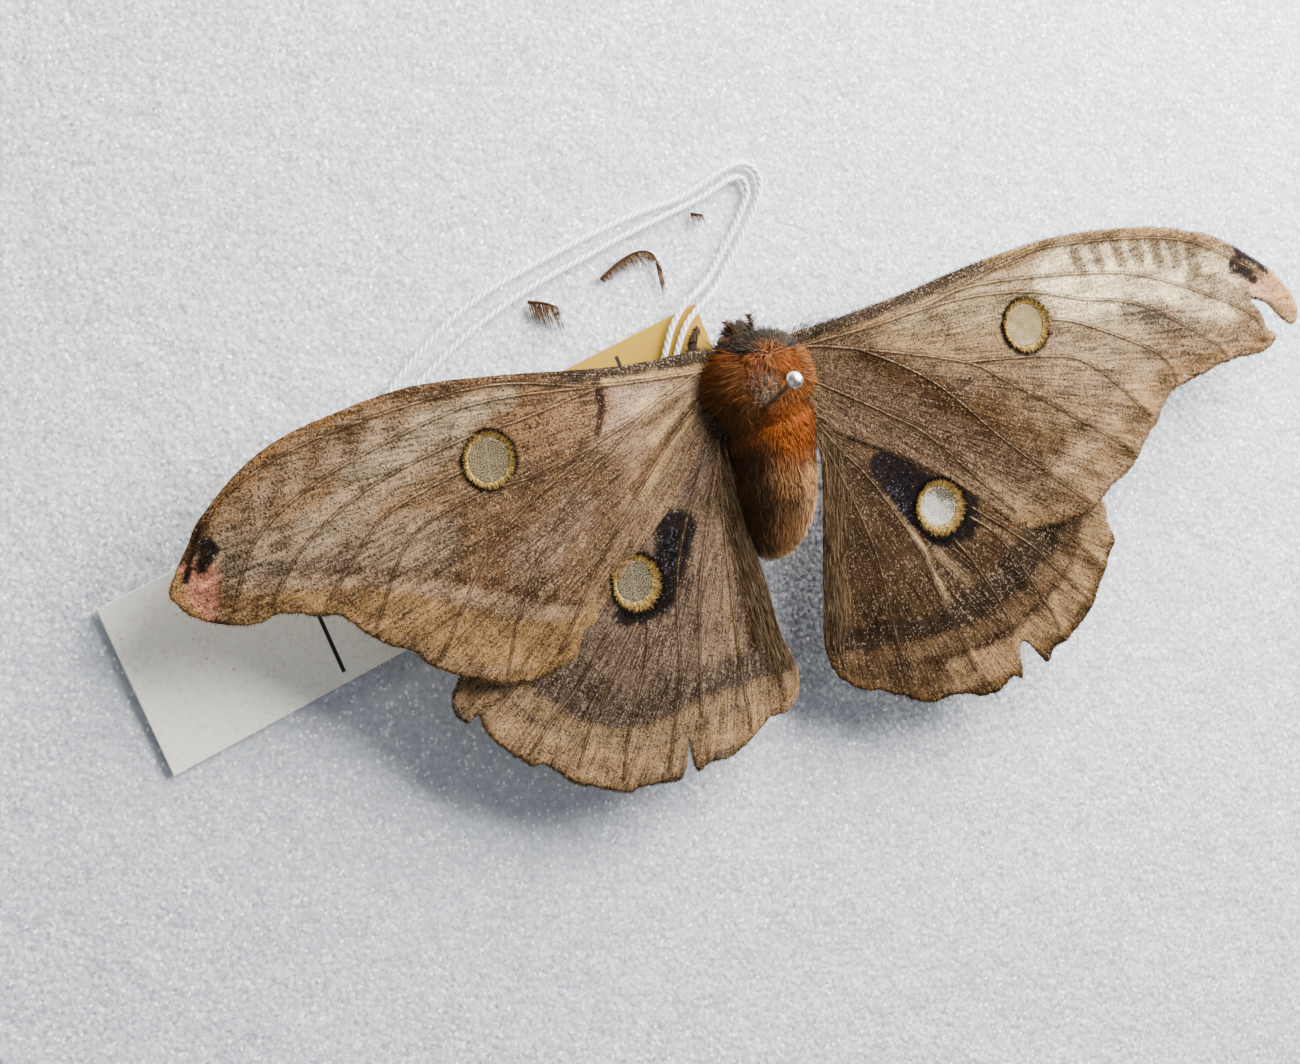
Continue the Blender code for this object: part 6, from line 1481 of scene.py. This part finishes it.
def tuftMesh(name, roots, outward, lie, lengths, widths, lift, droop, colours, places, sink):
    # Closed, tapered tufts. Each starts under the skin, rises by lift and bends back by droop.
    count = len(roots)
    flow = unit(lie - outward * (lie * outward).sum(1)[:, None])
    start = unit(flow + outward * lift[:, None])
    finish = unit(flow - outward * droop[:, None])
    across = unit(np.cross(outward, start))
    stations = ((-0.12, 0.8), (0.38, 1.0), (0.74, 0.62))
    rows = []
    for share, wide in stations:
        s = max(share, 0.0)
        middle = roots + lengths[:, None] * (start * (s - s * s / 2) + finish * s * s / 2)
        if share < 0:
            middle = middle - outward * sink
        thick = unit(np.cross(start, across))
        for angle in (0.0, 2 * math.pi / 3, 4 * math.pi / 3):
            rows.append(middle + (across * math.cos(angle) + thick * 0.6 * math.sin(angle))
                        * (widths * wide / 2)[:, None])
    rows.append(roots + lengths[:, None] * (start + finish) / 2)
    points = np.stack(rows, 1).reshape(-1, 3)
    pattern = [(0, 2, 1)]
    for ring in (0, 3):
        for k in range(3):
            n = (k + 1) % 3
            pattern += [(ring + k, ring + n, ring + 3 + n), (ring + k, ring + 3 + n, ring + 3 + k)]
    pattern += [(6, 7, 9), (7, 8, 9), (8, 6, 9)]
    faces = (np.array(pattern)[None] + 10 * np.arange(count)[:, None, None]).reshape(-1, 3)
    mesh = newMesh(name, inPlace(points), faces)
    tip = np.tile(np.array([0, 0, 0, 0.38, 0.38, 0.38, 0.74, 0.74, 0.74, 1.0]), count)
    addAttribute(mesh, "furColour", np.repeat(colours, 10, axis=0), "FLOAT_COLOR")
    addAttribute(mesh, "tip", tip)
    patch = 0.003
    local = np.array([(0, 0), (0.5, 0), (1, 0), (0, 0.4), (0.5, 0.4), (1, 0.4), (0, 0.75), (0.5, 0.75),
                      (1, 0.75), (0.5, 1)]) - 0.5
    spots = (places[:, None, :] + patch * local[None]).reshape(-1, 2)
    unwrap = mesh.uv_layers.new(name="OFBake")
    unwrap.data.foreach_set("uv", spots[faces.ravel()].astype(np.float32).ravel())
    return mesh


def makeFur(name):
    # Fine insect hair: matt and soft, dark at its roots and lighter towards its tips, a slight sheen that is
    # painted into the colour.
    add, finish = newMaterial(name)
    fur = add("Attribute:furColour", {}, "Color")
    tip = add("Attribute:tip", {}, "Fac")
    grain = add("TexNoise", {"Vector": add("TexCoord", {}, "Object"), "Scale": 1 / (0.35 * mm)})
    # Painted sheen: the hair lightens from root to tip.
    value = add("MapRange", {0: tip, 3: 0.42, 4: 1.2})
    value = add("Math:MULTIPLY_ADD", {0: grain, 1: 0.4, 2: value})
    value = add("Math:SUBTRACT", {0: value, 1: 0.2})
    colour = add("HueSaturation", {"Color": fur, "Value": value})
    relief = add("Bump", {"Height": grain, "Distance": 0.02 * mm, "Strength": 0.4})
    return finish({"Base Color": colour, "Normal": relief, "Roughness": 0.55,
                   "Specular IOR Level": 0.06})


def makeSkin():
    # The skin under the coat: a felt of short hair in the coat's own colours, darker as it is shaded.
    add, finish = newMaterial("felted under-fur")
    fur = add("Attribute:furColour", {}, "Color")
    bald = add("Attribute:bald", {}, "Fac")
    place = add("TexCoord", {}, "Object")
    strand = add("Mapping", {"Vector": place, "Scale": (1.0, 0.3, 1.0)})
    felt = add("TexNoise", {"Vector": strand, "Scale": 1 / (0.25 * mm), "Detail": 3.0})
    flecks = add("TexNoise", {"Vector": place, "Scale": 1 / (0.4 * mm), "Detail": 3.0, "Roughness": 0.7})
    value = add("MapRange", {0: felt, 1: 0.25, 2: 0.75, 3: 0.3, 4: 0.75})
    colour = add("HueSaturation", {"Color": fur, "Value": value})
    worn = add("Mix", {0: add("MapRange", {0: flecks, 1: 0.5, 2: 0.6}), 6: "#2b211b", 7: "#786b5e"}, 2)
    colour = add("Mix", {0: bald, 6: colour, 7: worn}, 2)
    relief = add("Bump", {"Height": felt, "Distance": 0.12 * mm, "Strength": 0.8})
    return finish({"Base Color": colour, "Normal": relief, "Roughness": 0.9})


skinMesh = bodySkin()
skinPoints = readArray(skinMesh.vertices, "co", 3) / mm
skinTriangles = readArray(skinMesh.polygons, "vertices", 3, int)
skinNormals = readArray(skinMesh.vertices, "normal", 3)
bpy.data.meshes.remove(skinMesh)
skinMesh = newMesh("body_skin", inPlace(skinPoints), skinTriangles)
addAttribute(skinMesh, "furColour", furColour(skinPoints), "FLOAT_COLOR")
fromBald = np.hypot(skinPoints[:, 0] - body["bald"][0], skinPoints[:, 1] - body["bald"][1])
onTop = softStep(skinPoints[:, 2], 20.5, 21.5)
fromBald += 0.5 * lumps(skinPoints, 0.8)
addAttribute(skinMesh, "bald", onTop * softStep(fromBald, body["bald"][2], 0.7))
addPiece("body_skin", skinMesh, makeSkin(), "thorax_fur",
         ("thorax", "abdomen", "head", *sorted(legPaths())))
print("skin ready:", len(skinTriangles), "triangles")

coat = {
    "body": 64000,   # places tried over the whole skin
    "shoulder": 9000, "tail": 1800, "perPiece": 12000,
    "hairTries": 70000, "rootShare": 0.6, "edgeShare": 0.55,
    "hairTints": ("#3d2d1f", "#5f4831", "#806648", "#a58a66"), "collarTint": "#2b2621",
    "collarTints": ("#2c2723", "#3d352d", "#5a4c3d"),
    "collar": 3200, "shades": (0.55, 1.5),
    "wisps": 70, "shoulderTints": ("#3d2716", "#5c3b1e", "#7c5027", "#9c6f3d"),
    "innerEdge": {                          # the hindwings' inner margins
        "hindwing_left": [(-4.3, -4.7), (-3.9, -12.3), (-2.7, -17.9), (-1.4, -25.2), (0.0, -29.0)],
        "hindwing_right": [(6.7, -6.1), (6.3, -10.3), (5.6, -14.6), (4.4, -23.1), (4.1, -28.0)]},
}
bodyFur = makeFur("body fur")


def unwrapBody(points):
    # The body rolled out round its long axis.
    turn = np.arctan2(points[:, 0], points[:, 2] - 17.8)
    return np.column_stack([0.5 + 0.9 * turn / (2 * math.pi), np.clip((points[:, 1] + 20) / 31, 0.02, 0.98)])


def pickTints(tints, count, rng):
    return np.array([linear(tint) for tint in tints])[rng.integers(0, len(tints), count)]


def addCoat(name, slot, roots, outward, lie, lengths, widths, lift, droop, colours=None, places=None,
            sink=0.25):
    # One coat, parted into pieces that stay under 200,000 triangles.
    colours = furColour(roots) if colours is None else colours
    places = unwrapBody(roots) if places is None else places
    lift, droop = np.broadcast_to(lift, len(roots)), np.broadcast_to(droop, len(roots))
    rng = np.random.default_rng(len(roots))
    colours = colours * rng.uniform(*coat["shades"], len(roots))[:, None]
    parts = int(math.ceil(len(roots) / coat["perPiece"]))
    for part in range(parts):
        own = slice(part, None, parts)
        mesh = tuftMesh(name, roots[own], outward[own], lie[own], lengths[own], widths[own], lift[own],
                        droop[own], colours[own], places[own], sink)
        title = name if parts == 1 else "{}_{}".format(name, part + 1)
        addPiece(title, mesh, bodyFur, slot)


def growBodyCoat():
    rng = np.random.default_rng(11)
    roots, outward = sampleSkin(skinPoints, skinTriangles, skinNormals, coat["body"], rng)
    x, y, z = roots.T
    size = len(x)
    one = np.ones(size)
    centre, radius = body["head"]
    onLeg = z < 14.9
    onHead = (~onLeg) & (np.linalg.norm(roots - np.array(centre), axis=1) < radius + 0.25) & (y > 5.0)
    onAbdomen = (~onLeg) & (~onHead) & (y + rng.uniform(-1.9, 1.9, size) < -5.8)
    onThorax = ~(onLeg | onHead | onAbdomen)
    fromBald = np.hypot(x - body["bald"][0], y - body["bald"][1] - 0.9)
    bald = fromBald < body["bald"][2] + 0.5 + 0.6 * lumps(roots, 0.8)
    bald &= (z > 20.5) & (rng.random(size) < 0.93)
    nearEye = np.zeros(size, bool)
    for side in (-1, 1):
        eye = np.array(eyes["centre"]) + np.array(eyes["offset"]) * (side, 1, 1)
        nearEye |= np.linalg.norm(roots - eye, axis=1) < eyes["radius"] + 0.12
    swirl = lumps(roots, 1.6, 4.0)
    jitter = rng.normal(0, 0.22, (size, 3))

    def cover(name, slot, pick, lie, length, widths, lift, droop):
        addCoat(name, slot, roots[pick], outward[pick], lie[pick], length[pick], widths[pick],
                np.broadcast_to(lift, size)[pick], droop)
    # Thorax: hair sweeps back and outward, but forward over the collar.
    ahead = softStep(y, 3.4, 5.0)
    lie = np.column_stack([np.sign(x) * (0.1 + 0.08 * np.abs(x)) + 0.5 * swirl, -0.8 + 1.5 * ahead,
                           -0.1 * one]) + jitter
    length = 1.6 + 0.9 * softStep(np.abs(x), 2.5, 5.0)
    length = length * rng.uniform(0.65, 1.25, size)
    lift = 0.3 + 0.25 * rng.random(size) + 0.3 * ahead
    widths = rng.uniform(0.07, 0.12, size)
    cover("thorax_coat", "thorax_fur", onThorax & ~bald, lie, length, widths, lift, 0.15)
    # Abdomen: shorter hair, laid straight back, a little ruffled at each ring.
    lie = np.column_stack([0.25 * swirl, -one, -0.05 * one]) + jitter * 0.7
    length = (1.7 + 0.6 * softStep(y, -10, -14)) * rng.uniform(0.55, 1.25, size)
    lift = 0.2 + 0.25 * rng.random(size) + 0.5 * (rng.random(size) < 0.08)
    cover("abdomen_coat", "abdomen_fur", onAbdomen, lie, length, rng.uniform(0.06, 0.11, size), lift, 0.1)
    # Head and legs: the shortest hair, the head's brushed forward and down.
    lie = np.column_stack([0.3 * swirl, 0.5 * one, -0.6 * one]) + jitter
    length = 1.9 * rng.uniform(0.6, 1.3, size)
    cover("head_coat", "head_fur", onHead & ~nearEye, lie, length, rng.uniform(0.07, 0.11, size), 0.5, 0.1)
    lie = np.column_stack([0.4 * np.sign(x), -0.5 * one, -0.5 * one]) + jitter
    length = 0.6 * rng.uniform(0.6, 1.3, size)
    cover("leg_coat", "leg_fur", onLeg, lie, length, rng.uniform(0.08, 0.12, size), 0.5, 0.1)


def thoraxSpots(y, turn):
    # Places on the thorax at given y, turned from its top to the right, and the normals there.
    (cx, cy, cz), (rx, ry, rz) = body["thorax"]
    full = np.sin(np.arccos((y - cy) / ry)) ** body["blunt"]
    offset = np.column_stack([rx * full * np.sin(turn), y - cy, rz * full * np.cos(turn)])
    return np.array([cx, cy, cz]) + offset, unit(offset / np.array([rx, ry, rz]) ** 2)


def growShoulderCoat():
    # Long tufts over the wing roots, and the brush at the abdomen's tip.
    rng = np.random.default_rng(23)
    count = coat["shoulder"]
    side = np.where(rng.random(count) < 0.5, -1.0, 1.0)
    y = rng.uniform(-3.8, 4.6, count)
    turn = side * np.radians(rng.uniform(34, 76, count))
    roots, outward = thoraxSpots(y, turn)
    outward = unit(0.6 * outward + np.array([0, 0, 0.4]))
    lie = np.column_stack([side * rng.uniform(0.5, 1.5, count), -0.6 + 0.12 * y, np.full(count, -0.5)])
    lie += rng.normal(0, 0.22, (count, 3))
    length = rng.uniform(1.2, 3.6, count) * (1 - 0.3 * softStep(y, -1.0, -4.0))
    length *= (0.3 + 0.7 * softStep(y, -1.5, 1.5)) * (1 + 0.35 * (side < 0) * softStep(y, -1.0, 2.0))
    tints = pickTints(coat["shoulderTints"], count, rng)
    blend = rng.uniform(0.45, 0.9, count) * softStep(y, 4.4, 3.0)
    colours = furColour(roots) + (tints * body["depth"] - furColour(roots)) * blend[:, None]
    # Painted shade: the tufts on the left side are darker, as that side lies in shade.
    colours *= np.where(side < 0, 0.78, 1.0)[:, None]
    addCoat("shoulder_coat", "thorax_fur", roots, outward, lie, length, rng.uniform(0.05, 0.09, count),
            rng.uniform(0.1, 0.4, count), rng.uniform(0.1, 0.5, count), colours)
    # A few pale wisps are left round the worn patch.
    count = coat["wisps"]
    turn = rng.uniform(0, 2 * math.pi, count)
    away = body["bald"][2] * np.sqrt(rng.random(count))
    spots = np.array(body["bald"][:2]) + away[:, None] * np.column_stack([np.cos(turn), np.sin(turn)])
    (cx, _, _), (rx, _, _) = body["thorax"]
    roots, outward = thoraxSpots(spots[:, 1], np.arcsin(np.clip((spots[:, 0] - cx) / rx, -0.9, 0.9)))
    lie = np.column_stack([rng.normal(0, 1, (count, 2)), np.zeros(count)])
    pale = np.tile(linear("#a8967c"), (count, 1))
    addCoat("worn_patch_wisps", "thorax_fur", roots, outward, lie, rng.uniform(0.6, 1.4, count),
            rng.uniform(0.05, 0.08, count), rng.uniform(0.2, 0.6, count), rng.uniform(0.1, 0.5, count),
            pale)
    # The collar: dark hair laid outward over the roots of the forewings.
    count = coat["collar"]
    y = rng.uniform(4.2, 5.8, count)
    turn = np.radians(rng.uniform(-84, 72, count))
    roots, outward = thoraxSpots(y, turn)
    outward = unit(0.5 * outward + np.array([0, 0.2, 0.5]))
    lie = np.column_stack([np.sin(turn) * 1.1, 0.45 - 0.1 * np.abs(turn), np.full(count, -0.1)])
    lie += rng.normal(0, 0.2, (count, 3))
    tints = pickTints(coat["collarTints"], count, rng)
    addCoat("collar_coat", "head_fur", roots, outward, lie, rng.uniform(1.2, 2.8, count),
            rng.uniform(0.06, 0.1, count), rng.uniform(0.1, 0.4, count), 0.3,
            tints * body["depth"] * 0.65)
    count = coat["tail"]
    angle = rng.uniform(0, 2 * math.pi, count)
    place = rng.uniform(0, 1, count)
    radius = 2.3 - 1.6 * place
    roots = np.column_stack([0.1 + radius * np.sin(angle), -15.2 - 1.3 * place,
                             16.8 + radius * np.cos(angle)])
    outward = unit(np.column_stack([np.sin(angle), -0.6 * np.ones(count), np.cos(angle)]))
    lie = np.column_stack([0.1 * np.sin(angle), -np.ones(count), 0.1 * np.cos(angle)])
    lie += rng.normal(0, 0.12, (count, 3))
    addCoat("tail_coat", "abdomen_fur", roots, outward, lie, rng.uniform(0.9, 1.5, count),
            rng.uniform(0.07, 0.11, count), rng.uniform(0.05, 0.3, count), 0.1)


def growWingHair():
    # Fine hair that fans out from the wing roots, and lies along the hindwings' inner margins.
    rng = np.random.default_rng(37)
    roots, lie, length, colours, widths, places = [], [], [], [], [], []
    for name, (flat, triangles, top) in wingSurfaces.items():
        points = np.column_stack([flat, top])
        ups = np.tile([0.0, 0.0, 1.0], (len(points), 1))
        side = 1.0 if name.endswith("right") else -1.0
        hind = name.startswith("hindwing")
        base = np.array([side * 2.0, -1.0 if hind else 2.0])
        spots, _ = sampleSkin(points, triangles, ups, coat["hairTries"], rng)
        fan = spots[:, :2] - base
        far = np.linalg.norm(fan, axis=1)
        keep = rng.random(len(spots)) < coat["rootShare"] * softStep(far, 13.0 if hind else 10.5, 4.0)
        way = onPlane(unit(fan))
        reach = rng.uniform(0.8, 2.0, len(spots)) + rng.random(len(spots)) * softStep(far, 7.0, 3.0)
        if hind:
            edge = np.array(coat["innerEdge"][name])
            away, share = pathGap(spots[:, 0], spots[:, 1], edge)
            along = rng.random(len(spots)) < coat["edgeShare"] * softStep(away, 3.8, 0.4) * softStep(
                share, 1.0, 0.85)
            way = np.where(along[:, None], [*(edge[-1] - edge[0]) / np.linalg.norm(edge[-1] - edge[0]), 0.0],
                           way)
            reach = np.where(along, rng.uniform(1.4, 3.2, len(spots)), reach)
            keep |= along
            slope, height = wings[name]["clear"]
            keep &= spots[:, 1] < slope * spots[:, 0] + height
        spots, way, reach = spots[keep], way[keep], reach[keep]
        roots.append(spots)
        lie.append(way + rng.normal(0, 0.06, way.shape))
        length.append(reach)
        tint = pickTints(coat["hairTints"], len(spots), rng) * (0.6 if hind else 1.0)
        nearCosta = (spots[:, 1] > 3.2 + 0.12 * np.abs(spots[:, 0])) & (not hind)
        colours.append(np.where(nearCosta[:, None], linear(coat["collarTint"]), tint))
        widths.append(rng.uniform(0.035, 0.06, len(spots)))
        places.append(np.column_stack([0.5 + side * (0.1 + 0.3 * hind) + spots[:, 0] * 0.004,
                                       0.5 + spots[:, 1] * 0.01]))
    roots, lie, length = np.vstack(roots), np.vstack(lie), np.concatenate(length)
    ups = np.tile([0.0, 0.0, 1.0], (len(roots), 1))
    addCoat("wing_root_hair", "hindwing", roots, ups, lie, length, np.concatenate(widths),
            rng.uniform(0.0, 0.12, len(roots)), 0.02, np.vstack(colours), np.vstack(places), sink=0.06)


growBodyCoat()
growShoulderCoat()
growWingHair()
print("coat grown")


def makeCompoundEye():
    # A dried compound eye: near-black chitin, drawn with facets coarse enough to show, dully glossy.
    add, finish = newMaterial("compound eye")
    place = add("TexCoord", {}, "Object")
    facets = add("TexVoronoi", {"Vector": place, "Scale": 1 / (eyes["facet"] * mm), "Randomness": 0.25})
    shade = add("TexNoise", {"Vector": place, "Scale": 1 / (0.8 * mm)})
    colour = add("Mix", {0: shade, 6: "#120c0a", 7: "#3a2519"}, 2)
    relief = add("Bump", {"Height": facets, "Distance": -0.05 * mm, "Strength": 0.8})
    return finish({"Base Color": colour, "Normal": relief, "Roughness": 0.3, "Coat Weight": 0.3})


eyeChitin = makeCompoundEye()
for side, word in ((-1, "left"), (1, "right")):
    centre = np.array(eyes["centre"]) + np.array(eyes["offset"]) * (side, 1, 1)
    points, faces = loftShape(eggRings(centre, [eyes["radius"]] * 3))
    addPiece("eye_dome_" + word, newMesh("eye", inPlace(points), faces), eyeChitin, "eye", ("eye_" + word,))

# Feelers: two broken stubs on the head and three loose scraps of comb on the foam.
feelers = {
    "tints": ("#3d2a1c", "#5c432d", "#7f6043"), "spacing": 0.13, "stem": (0.2, 0.08),
    "scraps": {                             # stem, heading of the rays, and their first and last length
        "a": ([(-21.3, 13.6), (-19.5, 13.2), (-18.1, 12.6)], (-0.1, -1.0), (3.0, 3.6)),
        "b": ([(-12.4, 14.7), (-9.6, 16.3), (-7.2, 16.9), (-5.7, 16.2), (-5.5, 14.1)], (0.25, -1.0),
              (0.8, 2.8)),
        "c": ([(-0.4, 20.0), (1.0, 19.7)], (-0.2, -1.0), (1.2, 0.9))},
    "stubs": {
        "left": [(-1.2, 6.4, 17.2), (-2.1, 7.4, 18.3), (-2.9, 8.1, 18.7)],
        "right": [(0.6, 6.5, 17.3), (0.3, 7.6, 18.4), (-0.1, 8.5, 18.8)]},
    "stubRay": 1.1,
}
feelerRays = fringeTree("feeler rays", fringeScales)


def joinMeshes(name, meshes):
    # One plain mesh from several, with their "paint".
    shapes, paint = [], []
    for mesh in meshes:
        mesh.calc_loop_triangles()
        shapes.append((readArray(mesh.vertices, "co", 3) / mm,
                       readArray(mesh.loop_triangles, "vertices", 3, int)))
        paint.append(readArray(mesh.attributes["paint"].data, "color", 4)[:, :3])
    joined = newMesh(name, *joinShapes(shapes))
    addAttribute(joined, "paint", np.vstack(paint), "FLOAT_COLOR")
    return joined


def feelerMesh(name, stem, sides, first, last, seed, bend):
    # A tapered stem with rows of fine rays. Sides holds the heading of each row.
    rng = np.random.default_rng(seed)
    line = evenPoints(stem, feelers["spacing"])
    share = np.linspace(0, 1, len(line))
    radii = feelers["stem"][0] + (feelers["stem"][1] - feelers["stem"][0]) * share
    points, faces = tubeShape(line, radii, 8)
    tube = newMesh(name, inPlace(points), faces)
    addAttribute(tube, "paint", np.tile(linear(feelers["tints"][0]), (len(points), 1)), "FLOAT_COLOR")
    ahead = unit(np.gradient(line, axis=0))
    meshes = [tube]
    for row, heading in enumerate(sides):
        lean = unit(np.asarray(heading, float) + 0.25 * ahead + rng.normal(0, 0.05, line.shape))
        long = (first + (last - first) * share) * rng.uniform(0.6, 1.15, len(line))
        seat = line + rng.normal(0, 0.03, line.shape)
        tint = pickTints(feelers["tints"], len(line), rng)
        meshes.append(grow(name, feelerRays, seat, tint, lean, ahead, long * mm,
                           {"Length": 1.0, "Width": 0.055 * mm, "Flatness": 0.6, "Bend": bend, "Ruffle": 0.08,
                            "Seed": seed + row}))
    return joinMeshes(name, meshes)


for number, (word, (stem, heading, lengths)) in enumerate(feelers["scraps"].items()):
    level = foamTop + gap + 0.35
    line = [(x, y, level) for x, y in stem]
    rows = [(heading[0] + shift, heading[1], lift)
            for shift, lift in ((0.0, 0.02), (0.12, 0.1), (-0.1, 0.06))]
    addPiece("feeler_scrap_" + word, feelerMesh("scrap", line, rows, *lengths, 5 + 10 * number, 3.0),
             fringeScales, "feeler", ("antenna_scrap_" + word,), smooth=False)
for number, (word, stem) in enumerate(feelers["stubs"].items()):
    rows = [(math.cos(turn), 0.35, math.sin(turn)) for turn in np.radians((10, 50, 130, 170, 215, 325))]
    reach = feelers["stubRay"]
    addPiece("feeler_stub_" + word, feelerMesh("stub", stem, rows, reach, reach * 0.8, 50 + 10 * number, 0.5),
             fringeScales, "feeler", ("antenna_" + word,), smooth=False)
print("eyes and feelers set")
